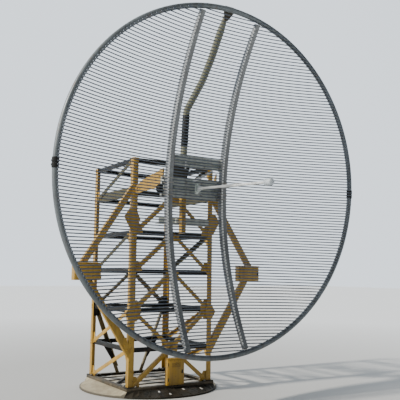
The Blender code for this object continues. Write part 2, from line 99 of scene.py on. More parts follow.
FORWARDS = (0, -1, 0)
UP = (0, 0, 1)
IDENTITY = Matrix.Identity(4)
reflector_place = Matrix.Translation(VERTEX) @ Matrix.Rotation(REFLECTOR_TILT, 4, "X")
reflector_turn = reflector_place.to_3x3()
sides = (("left", -1), ("right", 1))
print("tower", round(2 * TOWER_HALF, 3), "m square,", round(TOWER_TOP, 3), "m high")

# %% [markdown]
# The camera stands where the photographer stood, a person's eye height above the ground. The place,
# the turn and the focal length were solved from the tower's corner posts and its levels, so the
# picture's frame holds the antenna as the photograph does.

# %% Camera
EYE = Vector((-4.430, -8.301, 1.659))
YAW, PITCH, ROLL = (math.radians(value) for value in (32.507, 6.709, 0.734))
LENS_MM, SENSOR_MM = 55.77, 36.0
ahead = Vector((math.sin(YAW) * math.cos(PITCH), math.cos(YAW) * math.cos(PITCH), math.sin(PITCH)))
level = Vector((math.cos(YAW), -math.sin(YAW), 0.0))
upward = level.cross(ahead)
camera_right = level * math.cos(ROLL) + upward * math.sin(ROLL)
camera_top = upward * math.cos(ROLL) - level * math.sin(ROLL)
lens = bpy.data.cameras.new("camera")
lens.lens = LENS_MM
lens.sensor_width = SENSOR_MM
camera = bpy.data.objects.new("camera", lens)
camera_turn = Matrix((camera_right, camera_top, -ahead)).transposed().to_4x4()
camera.matrix_world = Matrix.Translation(EYE) @ camera_turn
bpy.context.scene.collection.objects.link(camera)
bpy.context.scene.camera = camera
print("camera at", tuple(round(value, 2) for value in EYE))

# %% [markdown]
# Paint and zinc out of doors are never one colour. They fade in broad patches, rain leaves upright
# streaks, rust starts in spots and dirt splashes up from the ground. One function mixes these from noise
# on Object coordinates. Every piece here shares them with the ground, so a streak runs on from one piece
# to the next and the dirt always sits at the foot.

# %% Weathered finishes
RUST = (0.15, 0.055, 0.020)
BARE_STEEL = (0.09, 0.05, 0.025)
DIRT = (0.16, 0.12, 0.075)
DIRT_REACH = 0.55


def make(tree, kind, sources=None, **settings):
    """A node. sources maps an input's name to a value or to another node's output."""
    node = tree.nodes.new(kind)
    for name, value in settings.items():
        setattr(node, name, value)
    for name, source in (sources or {}).items():
        if isinstance(source, bpy.types.NodeSocket):
            tree.links.new(source, node.inputs[name])
        else:
            node.inputs[name].default_value = source
    return node.outputs


def calc(operation, first, second=0.0):
    """Arithmetic on two values, at least one of which is a node's output."""
    tree = next(value.id_data for value in (first, second) if isinstance(value, bpy.types.NodeSocket))
    return make(tree, "ShaderNodeMath", {0: first, 1: second}, operation=operation)[0]


def wire(source, target):
    target.id_data.links.new(source, target)


def noise(place, scale, detail=4.0, roughness=0.55):
    return make(place.id_data, "ShaderNodeTexNoise", {
        "Vector": place, "Scale": scale, "Detail": detail, "Roughness": roughness})["Fac"]


def crystals(place, scale):
    return make(place.id_data, "ShaderNodeTexVoronoi", {"Vector": place, "Scale": scale})


def stretched(place, scale):
    return make(place.id_data, "ShaderNodeMapping", {"Vector": place, "Scale": scale})["Vector"]


def distance_from_middle(place):
    return make(place.id_data, "ShaderNodeVectorMath", {0: place}, operation="LENGTH")["Value"]


def mask(source, start, end, strength=1.0):
    """Turns a stretch of a noise's values into 0 to strength."""
    return make(source.id_data, "ShaderNodeMapRange", {
        "Value": source, "From Min": start, "From Max": end, "To Max": strength})["Result"]


def blend_colour(factor, first, second):
    mixer = factor.id_data.nodes.new("ShaderNodeMix")
    mixer.data_type = "RGBA"
    wire(factor, mixer.inputs["Factor"])
    for source, name in ((first, "A"), (second, "B")):
        socket = next(item for item in mixer.inputs if item.name == name and item.type == "RGBA")
        if isinstance(source, tuple):
            socket.default_value = (*source, 1.0)
        else:
            wire(source, socket)
    return next(item for item in mixer.outputs if item.type == "RGBA")


def coat(body, colour, source, start, end, strength=1.0):
    """Lays a colour over the body where the source's values lie towards end."""
    return blend_colour(mask(source, start, end, strength), body, colour)


def roughen(shader, source, strength, distance):
    wire(make(source.id_data, "ShaderNodeBump", {
        "Height": source, "Strength": strength, "Distance": distance})["Normal"], shader.inputs["Normal"])


def weathered(name, colour, faded, grime, metallic, roughness, rust=0.5, streaks=0.5, grain=90.0,
              spangle=0.0, chips=0.0, dirt=0.5):
    """Paint or zinc that has stood outside: patches, rain streaks, rust, splashed dirt, a fine grain."""
    material = bpy.data.materials.new(name)
    material.use_nodes = True
    tree = material.node_tree
    shader = tree.nodes["Principled BSDF"]
    shader.inputs["Metallic"].default_value = metallic
    place = make(tree, "ShaderNodeTexCoord")["Object"]
    patches = mask(noise(place, 2.2, 6.0), 0.35, 0.68)
    body = blend_colour(patches, colour, faded)
    if spangle > 0:
        shade = make(tree, "ShaderNodeRGBToBW", {"Color": crystals(place, 38.0)["Color"]})["Val"]
        body = coat(body, grime, shade, 0.2, 0.9, spangle)
    body = coat(body, grime, noise(stretched(place, (16.0, 16.0, 0.8)), 1.4, 5.0), 0.46, 0.74, streaks)
    if chips > 0:
        body = coat(body, BARE_STEEL, noise(place, 34.0, 5.0, 0.6), 0.635, 0.655, chips)
    if rust > 0:
        body = coat(body, RUST, noise(place, 7.0, 10.0, 0.72), 0.57, 0.70, rust)
    height = make(tree, "ShaderNodeSeparateXYZ", {"Vector": place})["Z"]
    splashes = mask(noise(place, 9.0, 7.0), 0.30, 0.62)
    splash = calc("MULTIPLY", mask(height, DIRT_REACH, 0.05, dirt), splashes)
    wire(blend_colour(splash, body, DIRT), shader.inputs["Base Color"])
    gloss = make(tree, "ShaderNodeMapRange", {
        "Value": patches, "To Min": roughness - 0.10, "To Max": roughness + 0.14})["Result"]
    wire(gloss, shader.inputs["Roughness"])
    roughen(shader, noise(place, grain, 3.0), 0.25, 0.002)
    return material


# %% [markdown]
# Each finish is given by its colour, the paler one that it fades to and the one of its grime, then by how
# metallic and how rough it is. Rust, streaks and dirt have their usual strength where none is named.

# %% Paints and metals
yellow = weathered("yellow_paint", (0.405, 0.225, 0.010), (0.46, 0.280, 0.038),
                   (0.14, 0.080, 0.020), 0.0, 0.46, chips=0.8, dirt=0.35)
# A darker olive for yellow steel on the tower's back side: painted shade.
painted_shade_olive = weathered("shaded_paint", (0.17, 0.125, 0.045), (0.22, 0.170, 0.070),
                  (0.08, 0.062, 0.032), 0.0, 0.52, chips=0.6)
# Dark moss: a dull paint darkened further as painted shade. On the yellow upper diagonals it is painted shade
# only.
moss_paint_and_painted_shade = weathered("dull_paint_and_painted_shade", (0.062, 0.058, 0.032), (0.090, 0.082, 0.048),
                 (0.040, 0.037, 0.024), 0.0, 0.60, rust=0.3, chips=0.4)
khaki = weathered("khaki_paint", (0.150, 0.150, 0.090), (0.21, 0.21, 0.14),
                  (0.09, 0.085, 0.055), 0.0, 0.50, rust=0.15, chips=0.3)
dark = weathered("dark_steel", (0.012, 0.014, 0.015), (0.024, 0.025, 0.024),
                 (0.042, 0.036, 0.027), 0.1, 0.50, rust=0.3, streaks=0.35, dirt=0.25)
ground_finish = weathered("ground_steel", (0.030, 0.030, 0.026), (0.10, 0.092, 0.070),
                          (0.16, 0.14, 0.10), 0.1, 0.6, rust=0.3)
zinc = weathered("galvanised", (0.175, 0.185, 0.195), (0.25, 0.265, 0.275),
                 (0.085, 0.082, 0.075), 0.35, 0.42, rust=0.2, spangle=0.35)
beam_finish = weathered("beam_steel", (0.42, 0.45, 0.42), (0.54, 0.57, 0.53),
                        (0.20, 0.20, 0.17), 0.1, 0.52, rust=0.25, spangle=0.2)
bar_finish = weathered("bar_steel", (0.080, 0.098, 0.130), (0.14, 0.165, 0.205),
                       (0.050, 0.052, 0.055), 0.40, 0.40, rust=0.12, grain=200.0)
fastener = weathered("bolt_zinc", (0.26, 0.25, 0.22), (0.38, 0.37, 0.34),
                     (0.15, 0.12, 0.08), 0.6, 0.42)
# Near white: on the rib clips a painted highlight for the sunlit beads; on the hub stays and cleats a pale
# zinc.
pale_zinc_and_painted_highlight = weathered("clip_zinc_and_painted_highlight", (0.76, 0.77, 0.76), (0.88, 0.89, 0.88),
                        (0.42, 0.41, 0.38), 0.2, 0.38, rust=0.2)
rim_finish = weathered("rim_steel", (0.105, 0.122, 0.132), (0.175, 0.197, 0.21),
                       (0.064, 0.058, 0.046), 0.35, 0.42, rust=0.45)
pale = weathered("pale_metal", (0.66, 0.68, 0.68), (0.78, 0.80, 0.80),
                 (0.38, 0.39, 0.37), 0.1, 0.38, rust=0.0)
feed_finish = weathered("feed_shell", (0.44, 0.49, 0.53), (0.55, 0.60, 0.64),
                        (0.28, 0.30, 0.31), 0.1, 0.38, rust=0.0)
flange_finish = weathered("flange_grey", (0.52, 0.59, 0.56), (0.64, 0.70, 0.67),
                          (0.28, 0.31, 0.28), 0.0, 0.50, rust=0.2)
print(len(bpy.data.materials), "materials so far")

# %% [markdown]
# The plinth is old concrete: sandy, speckled with its gravel and darker in a narrow band at its rim. The
# plates on its front part are coloured near black, which is painted shade, under a film of dust, and pale
# slabs lie inside the square frame.

# %% Concrete
DARK_GRAVEL = (26.0, 0.16, 0.55, (0.17, 0.145, 0.11))
PALE_GRAVEL = (60.0, 0.2, 0.5, (0.62, 0.57, 0.47))
DULL_SPECULAR = 0.12


def concrete(name, colour, dusty, edge_start, edge_end):
    """Concrete with gravel specks. It is darker in a band that lies between two distances from the middle."""
    material = weathered(name, colour, dusty, (0.24, 0.19, 0.125), 0.0, 0.86, rust=0.0,
                         streaks=0.0, grain=120.0)
    shader = material.node_tree.nodes["Principled BSDF"]
    body = shader.inputs["Base Color"].links[0].from_socket
    place = make(material.node_tree, "ShaderNodeTexCoord")["Object"]
    for scale, start, strength, stone in (DARK_GRAVEL, PALE_GRAVEL):
        body = coat(body, stone, crystals(place, scale)["Distance"], start, 0.03, strength)
    body = coat(body, (0.26, 0.21, 0.145), noise(place, 4.5, 8.0, 0.65), 0.48, 0.66, 0.6)
    outwards = distance_from_middle(stretched(place, (1.0, 1.0, 0.0)))
    body = coat(body, (0.050, 0.045, 0.036), outwards, edge_start, edge_end, 0.85)
    wire(body, shader.inputs["Base Color"])
    roughen(shader, noise(place, 42.0, 6.0, 0.7), 0.6, 0.006)
    return material


plinth_finish = concrete("plinth_slab", (0.34, 0.30, 0.195), (0.47, 0.42, 0.305), 0.975, 0.992)
slab_finish = concrete("pale_slab", (0.50, 0.49, 0.43), (0.62, 0.61, 0.56), 2.0, 3.0)
# Near black with a little dust: painted shade on the front plates, their cover strips and bolts.
deck_painted_shade = weathered("deck_plate", (0.011, 0.012, 0.010), (0.024, 0.023, 0.019),
                        (0.060, 0.050, 0.034), 0.1, 0.55, rust=0.15, streaks=0.2, dirt=0.12)
for dull in (deck_painted_shade, ground_finish, dark, moss_paint_and_painted_shade):
    dull.node_tree.nodes["Principled BSDF"].inputs["Specular IOR Level"].default_value = DULL_SPECULAR
print("ground finishes made")

# %% [markdown]
# Every solid is drawn as rings of corners that are joined one to the next. Once its shape is moved to its
# place, it becomes a piece: it gets its finish and soft edges, and stands in for imported nodes.

# %% Pieces from rings of corners
def plain_mesh(holder):
    """The shape of an object with its modifiers or its curve's bevel, as a new mesh."""
    bpy.context.view_layer.update()
    return bpy.data.meshes.new_from_object(holder.evaluated_get(bpy.context.evaluated_depsgraph_get()))


def keep(name, mesh, material, nodes=(), bevel=0.0, smooth=30.0):
    """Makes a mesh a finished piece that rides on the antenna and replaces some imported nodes."""
    mesh.materials.clear()
    mesh.materials.append(material)
    piece = bpy.data.objects.new(name, mesh)
    bpy.context.scene.collection.objects.link(piece)
    if bevel > 0:
        rounding = piece.modifiers.new("rounded edges", "BEVEL")
        rounding.width = bevel
        rounding.segments = 2
        rounding.limit_method = "ANGLE"
        rounding.angle_limit = math.radians(40)
        rounded = plain_mesh(piece)
        piece.modifiers.clear()
        piece.data = rounded
    piece.data.shade_smooth()
    piece.data.set_sharp_from_angle(angle=math.radians(smooth))
    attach(piece, "root")
    for node in nodes:
        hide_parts(node)
    print(name, len(piece.data.polygons), "faces")


def new_piece(name, shape, material, *nodes, place=IDENTITY, bevel=0.0, smooth=30.0, slot=None):
    """Makes a bmesh, moved to its place, a finished piece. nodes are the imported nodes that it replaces."""
    shape.transform(place)
    bmesh.ops.recalc_face_normals(shape, faces=shape.faces)
    mesh = bpy.data.meshes.new(name)
    shape.to_mesh(mesh)
    shape.free()
    keep(name, mesh, material, nodes, bevel, smooth)


def follow(shape, rings, place=IDENTITY):
    """Joins rings of corners, which all have the same count, into one closed body."""
    layers = [[shape.verts.new(place @ Vector(corner)) for corner in ring] for ring in rings]
    for ring, next_ring in zip(layers, layers[1:]):
        for number in range(len(ring)):
            after = (number + 1) % len(ring)
            shape.faces.new((ring[number], ring[after], next_ring[after], next_ring[number]))
    shape.faces.new(layers[0][::-1])
    shape.faces.new(layers[-1])
    return shape


def carry(shape, corners, spots, place=IDENTITY):
    """A bar or plate whose corners are given from a spot, carried from one spot to another."""
    follow(shape, [[Vector(spot) + corner for corner in corners] for spot in spots], place)


# %% [markdown]
# Most of the tower is straight bars with one cross-section. A bar is made by drawing its section at both
# ends and joining the two drawings, which keeps every edge of an angle or a channel sharp and cheap.

# %% Straight bars, blocks and plates
def sweep(shape, section, start, end, side, place=IDENTITY):
    """A straight bar. side is where the section's first axis points; the second is side x along."""
    along = (Vector(end) - Vector(start)).normalized()
    across = (Vector(side) - Vector(side).dot(along) * along).normalized()
    other = across.cross(along)
    carry(shape, [across * a + other * b for a, b in section], (start, end), place)


def block(shape, low, high, place=IDENTITY):
    (x1, y1, z1), (x2, y2, z2) = low, high
    follow(shape, [[(x1, y1, z), (x2, y1, z), (x2, y2, z), (x1, y2, z)] for z in (z1, z2)], place)


def upright_plate(shape, outline, front, back):
    """A plate that faces forwards. Its outline is given as (across, up)."""
    follow(shape, [[(x, y, z) for x, z in outline] for y in (front, back)])


def side_plate(shape, outline, left, right):
    """A plate that faces sideways. Its outline is given as (depth, up)."""
    follow(shape, [[(x, y, z) for y, z in outline] for x in (left, right)])


def mirrored(half_outline):
    return [(-x, z) for x, z in half_outline] + list(half_outline[::-1])


def round_section(radius, count):
    angles = [2 * math.pi * step / count for step in range(count)]
    return [(radius * math.cos(angle), radius * math.sin(angle)) for angle in angles]


def rod(shape, start, end, radius, count=14):
    along = Vector(end) - Vector(start)
    side = (1, 0, 0) if abs(along.z) > 0.7 * along.length else UP
    sweep(shape, round_section(radius, count), start, end, side)


def channel_section(height, depth, thickness):
    """A channel with its back on the first axis and its flanges along the second."""
    half, inner = height / 2, height / 2 - thickness
    return [(-half, 0), (half, 0), (half, depth), (inner, depth), (inner, thickness), (-inner, thickness),
            (-inner, depth), (-half, depth)]


def level_channel(shape, reach, front, heights, depth, thickness, place=IDENTITY):
    """A channel that lies along X between two heights, with its back to the front."""
    middle = sum(heights) / 2
    section = channel_section(heights[1] - heights[0], depth, thickness)
    sweep(shape, section, (reach[0], front, middle), (reach[1], front, middle), UP, place)


def bar_section(width, thickness):
    return [(-width / 2, 0), (width / 2, 0), (width / 2, thickness), (-width / 2, thickness)]


def quarter_turn(number):
    return Matrix.Rotation(number * math.pi / 2, 4, "Z")


# %% [markdown]
# Bolts, bars and clips come in hundreds, so Geometry Nodes make them from a few named inputs. These
# helpers open a tree, close it, and run it once on a cloud of points to keep what it makes as a mesh.

# %% Node trees: helpers
SOCKET_KINDS = {int: "NodeSocketInt", float: "NodeSocketFloat", tuple: "NodeSocketVector"}


def new_tree(name, values):
    """A tree whose named inputs have the values' kinds, and a geometry and a material besides."""
    tree = bpy.data.node_groups.new(name, "GeometryNodeTree")
    tree.interface.new_socket("Geometry", in_out="INPUT", socket_type="NodeSocketGeometry")
    for label, value in values.items():
        socket = tree.interface.new_socket(label, in_out="INPUT", socket_type=SOCKET_KINDS[type(value)])
        socket.default_value = value
    tree.interface.new_socket("Material", in_out="INPUT", socket_type="NodeSocketMaterial")
    tree.interface.new_socket("Geometry", in_out="OUTPUT", socket_type="NodeSocketGeometry")
    return tree, tree.nodes.new("NodeGroupInput").outputs


def close_tree(tree, geometry, entry):
    """Ends a tree: its instances are realized and get the material."""
    solid = make(tree, "GeometryNodeRealizeInstances", {"Geometry": geometry})["Geometry"]
    painted = make(tree, "GeometryNodeSetMaterial", {"Geometry": solid, "Material": entry["Material"]})
    make(tree, "NodeGroupOutput", {"Geometry": painted["Geometry"]})
    print(tree.name, "has", len(tree.nodes), "nodes")


def vector(tree, **parts):
    return make(tree, "ShaderNodeCombineXYZ", parts)["Vector"]


def set_on_points(tree, instance, entry, axis):
    """Puts a copy on each point, with one of its axes turned to where the point faces."""
    facing = make(tree, "GeometryNodeInputNamedAttribute", {"Name": "facing"}, data_type="FLOAT_VECTOR")
    turned = make(tree, "FunctionNodeAlignRotationToVector", {"Vector": facing["Attribute"]}, axis=axis)
    return make(tree, "GeometryNodeInstanceOnPoints", {
        "Points": entry["Geometry"], "Instance": instance, "Rotation": turned["Rotation"]})["Instances"]


def grow(name, tree, values, material, *nodes, places=(), place=IDENTITY, smooth=30.0):
    """Runs a node tree once and keeps its result as a plain mesh. places are points with directions."""
    values = {**values, "Material": material}
    cloud = bpy.data.meshes.new(name + "_seed")
    cloud.from_pydata([tuple(point) for point, direction in places], [], [])
    facing = cloud.attributes.new("facing", "FLOAT_VECTOR", "POINT")
    for item, (point, direction) in zip(facing.data, places):
        item.vector = direction
    seed = bpy.data.objects.new(name + "_seed", cloud)
    bpy.context.scene.collection.objects.link(seed)
    modifier = seed.modifiers.new("nodes", "NODES")
    modifier.node_group = tree
    for item in tree.interface.items_tree:
        if item.in_out == "INPUT" and item.name in values:
            modifier[item.identifier] = values[item.name]
    mesh = plain_mesh(seed)
    bpy.data.objects.remove(seed)
    mesh.transform(place)
    keep(name, mesh, material, nodes, smooth=smooth)


# %% [markdown]
# One bolt, a six-sided head on a round washer, is set on each point of a cloud. Every point carries the
# direction that its bolt faces.

# %% Node tree: bolts
def lifted_cylinder(tree, count, radius, height, foot):
    cylinder = make(tree, "GeometryNodeMeshCylinder", {"Vertices": count, "Radius": radius, "Depth": height})
    middle = calc("ADD", calc("DIVIDE", height, 2.0), foot)
    return make(tree, "GeometryNodeTransform", {
        "Geometry": cylinder["Mesh"], "Translation": vector(tree, Z=middle)})["Geometry"]


BOLT = {"Head radius": 0.012, "Head height": 0.009, "Washer radius": 0.017, "Washer height": 0.003}
bolt_tree, entry = new_tree("bolts on points", BOLT)
head = lifted_cylinder(bolt_tree, 6, entry["Head radius"], entry["Head height"], entry["Washer height"])
washer = lifted_cylinder(bolt_tree, 14, entry["Washer radius"], entry["Washer height"], 0.0)
pair = make(bolt_tree, "GeometryNodeJoinGeometry", {"Geometry": head})["Geometry"]
wire(washer, pair.node.inputs["Geometry"])
close_tree(bolt_tree, set_on_points(bolt_tree, pair, entry, "Z"), entry)


def bolts(name, places, size=1.0, material=fastener):
    """places holds pairs of a point on a surface and the direction that the surface faces."""
    values = {label: value * size for label, value in BOLT.items()}
    grow(name, bolt_tree, values, material, places=places, smooth=25.0)


def moved(places, place):
    """Moves pairs of a point and a direction out of a piece's own frame."""
    turn = place.to_3x3()
    return [(place @ Vector(point), turn @ Vector(direction)) for point, direction in places]


def on_front(across, depth, heights):
    """Places on a surface that faces forwards, in rows and columns."""
    return [((x, depth, z), FORWARDS) for x in across for z in heights]


# %% [markdown]
# The grid is about a hundred round bars, one above the other, each bent to the dish. Placed by hand it
# would be endless, and an array can't shorten the bars towards the rim. So a node tree draws one straight
# line of points for each bar and moves every point: sideways to its share of the chord at that height,
# and forwards by the rule of a paraboloid. The ribs divide the grid into three fields, so From and To
# say where a field starts and ends.

# %% Node tree: bars on the paraboloid
BEYOND_RIM = 3.0
SIDE_COLUMNS, CENTRE_COLUMNS = 34, 14
SHORTEST_BAR = 0.02
bar_count = 2 * int((RIM_SEAT_RADIUS - 0.02) / BAR_PITCH)
grid_values = {"Bars": bar_count, "Columns": SIDE_COLUMNS, "Pitch": BAR_PITCH, "From": -BEYOND_RIM,
               "To": BEYOND_RIM, "Chord radius": RIM_SEAT_RADIUS + 0.012, "Focal length": FOCAL_LENGTH,
               "Bar radius": BAR_RADIUS, "Sides": 8}
grid_tree, entry = new_tree("bars on a paraboloid", grid_values)
stack_height = calc("MULTIPLY", calc("SUBTRACT", entry["Bars"], 1.0), entry["Pitch"])
stack = make(grid_tree, "GeometryNodeMeshLine", {
    "Count": entry["Bars"], "Start Location": vector(grid_tree, Z=calc("MULTIPLY", stack_height, -0.5)),
    "Offset": vector(grid_tree, Z=entry["Pitch"])})["Mesh"]
column_step = calc("DIVIDE", 1.0, calc("SUBTRACT", entry["Columns"], 1.0))
row = make(grid_tree, "GeometryNodeMeshLine", {
    "Count": entry["Columns"], "Offset": vector(grid_tree, X=column_step)})["Mesh"]
rows = make(grid_tree, "GeometryNodeInstanceOnPoints", {"Points": stack, "Instance": row})["Instances"]
lines = make(grid_tree, "GeometryNodeRealizeInstances", {"Geometry": rows})["Geometry"]
spot = make(grid_tree, "ShaderNodeSeparateXYZ", {"Vector": make(grid_tree, "GeometryNodeInputPosition")[0]})
height = spot["Z"]
height_squared = calc("MULTIPLY", height, height)
radius_squared = calc("MULTIPLY", entry["Chord radius"], entry["Chord radius"])
chord = calc("SQRT", calc("MAXIMUM", calc("SUBTRACT", radius_squared, height_squared), 0.0))
field_start = calc("MAXIMUM", entry["From"], calc("MULTIPLY", chord, -1.0))
width = calc("SUBTRACT", calc("MINIMUM", entry["To"], chord), field_start)
across = calc("ADD", field_start, calc("MULTIPLY", spot["X"], width))
squares = calc("ADD", calc("MULTIPLY", across, across), height_squared)
forward = calc("DIVIDE", squares, calc("MULTIPLY", entry["Focal length"], -4.0))
bent = make(grid_tree, "GeometryNodeSetPosition", {
    "Geometry": lines, "Position": vector(grid_tree, X=across, Y=forward, Z=height)})["Geometry"]
cleared = make(grid_tree, "GeometryNodeDeleteGeometry", {
    "Geometry": bent, "Selection": calc("LESS_THAN", width, SHORTEST_BAR)})["Geometry"]
wires = make(grid_tree, "GeometryNodeMeshToCurve", {"Mesh": cleared})["Curve"]
section = make(grid_tree, "GeometryNodeCurvePrimitiveCircle", {
    "Resolution": entry["Sides"], "Radius": entry["Bar radius"]})["Curve"]
solid_bars = make(grid_tree, "GeometryNodeCurveToMesh", {
    "Curve": wires, "Profile Curve": section, "Fill Caps": True})["Mesh"]
close_tree(grid_tree, solid_bars, entry)

rib_inner, rib_outer = RIB_OFFSET - RIB_WIDTH / 2, RIB_OFFSET + RIB_WIDTH / 2
fields = (("left", -BEYOND_RIM, -rib_outer, SIDE_COLUMNS), ("centre", -rib_inner, rib_inner, CENTRE_COLUMNS),
          ("right", rib_outer, BEYOND_RIM, SIDE_COLUMNS))
for field, start, end, columns in fields:
    values = {**grid_values, "From": start, "To": end, "Columns": columns}
    grow("grid_bars_" + field, grid_tree, values, bar_finish, "grid_%s_upper" % field,
         "grid_%s_lower" % field, place=reflector_place, smooth=60.0)
print(bar_count, "bars")

# %% [markdown]
# The rim is one round tube, 70 mm thick, bent to a circle that lies on the paraboloid. Its two halves
# meet at mid height. The ribs are box beams that follow the dish from rim to rim and are deepest at the
# hub. Both are drawn as a section at each of many places along their path, in the reflector's own frame.

# %% Rim and ribs
RIM_STEPS = 90
RIM_SIDES = 20
HALF_JOINT = 0.0006
RIB_STEPS = 72
RIB_CORNER = 0.012


def back_from_dish(across, up):
    return Vector((across / (2 * FOCAL_LENGTH), 1.0, up / (2 * FOCAL_LENGTH))).normalized()


def on_dish(across, up, behind=0.0):
    """A point on the paraboloid, moved back along the surface's normal, in the reflector's frame."""
    depth = -(across ** 2 + up ** 2) / (4 * FOCAL_LENGTH)
    return Vector((across, depth, up)) + back_from_dish(across, up) * behind


def rim_stretch(shape, first_angle, last_angle, radius, count):
    """A tube round the rim's line, between two angles of the rim's circle."""
    rings = []
    for step in range(count + 1):
        angle = first_angle + (last_angle - first_angle) * step / count
        outward = Vector((math.cos(angle), 0.0, math.sin(angle)))
        centre = on_dish(RIM_SEAT_RADIUS * outward.x, RIM_SEAT_RADIUS * outward.z, RIM_OFFSET)
        rings.append([centre + outward * a + Vector((0, b, 0)) for a, b in round_section(radius, RIM_SIDES)])
    return follow(shape, rings)


def rounded_box(width, depth, corner, steps=3):
    points = []
    for quarter in range(4):
        middle_x = (width / 2 - corner) * (1 if quarter in (0, 3) else -1)
        middle_y = (depth / 2 - corner) * (1 if quarter in (0, 1) else -1)
        for step in range(steps + 1):
            angle = (quarter + step / steps) * math.pi / 2
            points.append((middle_x + corner * math.cos(angle), middle_y + corner * math.sin(angle)))
    return points


for half, first_angle in (("upper", HALF_JOINT), ("lower", math.pi + HALF_JOINT)):
    last_angle = first_angle + math.pi - 2 * HALF_JOINT
    shape = rim_stretch(bmesh.new(), first_angle, last_angle, RIM_TUBE_RADIUS, RIM_STEPS)
    new_piece("rim_tube_" + half, shape, rim_finish, "rim_" + half, place=reflector_place, smooth=50.0)

rib_reach = math.sqrt(RIM_SEAT_RADIUS ** 2 - RIB_OFFSET ** 2) - 0.036
for side, sign in sides:
    rings = []
    for number in range(RIB_STEPS + 1):
        share = 2 * number / RIB_STEPS - 1
        up = rib_reach * share
        depth = RIB_END_DEPTH + (RIB_MIDDLE_DEPTH - RIB_END_DEPTH) * (1 - share ** 2)
        middle = on_dish(0.0, up, depth / 2 - RIB_PROUD) + Vector((sign * RIB_OFFSET, RIB_LIFT, 0))
        rings.append([middle + Vector((a, 0, 0)) + back_from_dish(0.0, up) * b
                      for a, b in rounded_box(RIB_WIDTH, depth, RIB_CORNER)])
    shape = follow(bmesh.new(), rings)
    new_piece("rib_beam_" + side, shape, zinc, "rib_" + side, place=reflector_place, smooth=40.0)

# %% [markdown]
# Each bar is tied to the ribs' left edge by a small saddle clip. The clips are coloured near white, a
# painted highlight that stands for the sunlit beads along that edge. One clip has a handful of faces, and a
# node tree sets it on each of some two hundred points of the ribs.

# %% Node tree: saddle clips along the ribs
clip_values = {"Clip size": (0.017, 0.022, 0.024)}
clip_tree, entry = new_tree("clips along the ribs", clip_values)
clip = make(clip_tree, "GeometryNodeMeshCube", {"Size": entry["Clip size"]})["Mesh"]
close_tree(clip_tree, set_on_points(clip_tree, clip, entry, "Y"), entry)

clip_places = []
for number in range(bar_count):
    up = (number - (bar_count - 1) / 2) * BAR_PITCH
    if abs(up) < rib_reach - 0.02:
        for side, sign in sides:
            edge = Vector((sign * RIB_OFFSET - RIB_WIDTH / 2 - 0.004, RIB_LIFT, 0))
            clip_places.append((on_dish(0.0, up, -0.004) + edge, back_from_dish(0.0, up)))
# The clips' near-white colour is a painted highlight.
grow("rib_clips", clip_tree, clip_values, pale_zinc_and_painted_highlight, places=moved(clip_places, reflector_place))

# %% [markdown]
# Round stock that bends, such as U-bolts and the bent arm, is drawn as a poly curve with a bevel and made
# a mesh. Sharp corners are first cut back and rounded, as a pipe bender would leave them.

# %% Bent rods and pipes
def rounded_path(points, bend, count=6):
    points = [Vector(point) for point in points]
    path = [points[0]]
    for before, corner, after in zip(points, points[1:], points[2:]):
        first = corner + (before - corner).normalized() * bend
        last = corner + (after - corner).normalized() * bend
        for number in range(count + 1):
            share = number / count
            path.append(first.lerp(corner, share).lerp(corner.lerp(last, share), share))
    return path + [points[-1]]


def pipes(name, paths, radius, material, *nodes, place=IDENTITY, tip_radius=None):
    """Round stock along paths. With a tip radius, its last stretch tapers."""
    curve = bpy.data.curves.new(name, "CURVE")
    curve.dimensions = "3D"
    curve.bevel_depth = radius
    curve.bevel_resolution = 3
    curve.use_fill_caps = True
    for path in paths:
        spline = curve.splines.new("POLY")
        spline.points.add(len(path) - 1)
        for point, spot in zip(spline.points, path):
            point.co = (*spot, 1.0)
        if tip_radius:
            spline.points[-1].radius = tip_radius / radius
    holder = bpy.data.objects.new(name + "_curve", curve)
    bpy.context.scene.collection.objects.link(holder)
    shape = bmesh.new()
    shape.from_mesh(plain_mesh(holder))
    bpy.data.objects.remove(holder)
    bmesh.ops.remove_doubles(shape, verts=shape.verts, dist=0.00005)
    new_piece(name, shape, material, *nodes, place=place, smooth=45.0)


def u_bolt(middle, half_width, reach):
    """The path of a U-bolt round something. It opens backwards, +Y, or to the front with a minus reach."""
    x, y, z = middle
    ends = [(x + half, y + reach, z) for half in (-half_width, half_width)]
    bends = [(x + half, y, z) for half in (-half_width, half_width)]
    return rounded_path([ends[0], *bends, ends[1]], half_width * 0.45)


# %% [markdown]
# Where the rim's halves meet, a sleeve in two shells is clamped round them. At the top a tapered plate
# is bolted to the rim, and two U-bolts hold the thin end of the bent arm behind it.

# %% Rim sleeves and top bracket
SLEEVE_STRETCHES = ((-0.026, -0.001), (0.001, 0.026))
BRACKET_STEEL = 0.010
BRACKET_LIP = 0.030
ARM_RADIUS = 0.048
ARM_TIP_RADIUS = 0.022
ARM_FROM_BRACKET = 0.044
ARM_ALONG_BRACKET = (-0.36, -0.05)
for side, sign in sides:
    middle_angle = 0.0 if sign > 0 else math.pi
    shape = bmesh.new()
    for turn_from, turn_to in SLEEVE_STRETCHES:
        rim_stretch(shape, middle_angle + turn_from, middle_angle + turn_to, RIM_TUBE_RADIUS + 0.006, 3)
    ear = on_dish(sign * RIM_SEAT_RADIUS, 0.0, RIM_OFFSET + RIM_TUBE_RADIUS + 0.008)
    for up in (-0.022, 0.022):
        block(shape, ear + Vector((-0.012, -0.012, up - 0.012)), ear + Vector((0.012, 0.008, up + 0.012)))
    new_piece("rim_sleeve_" + side, shape, dark, "rim_joint_" + side, place=reflector_place, bevel=0.002,
              smooth=35.0)

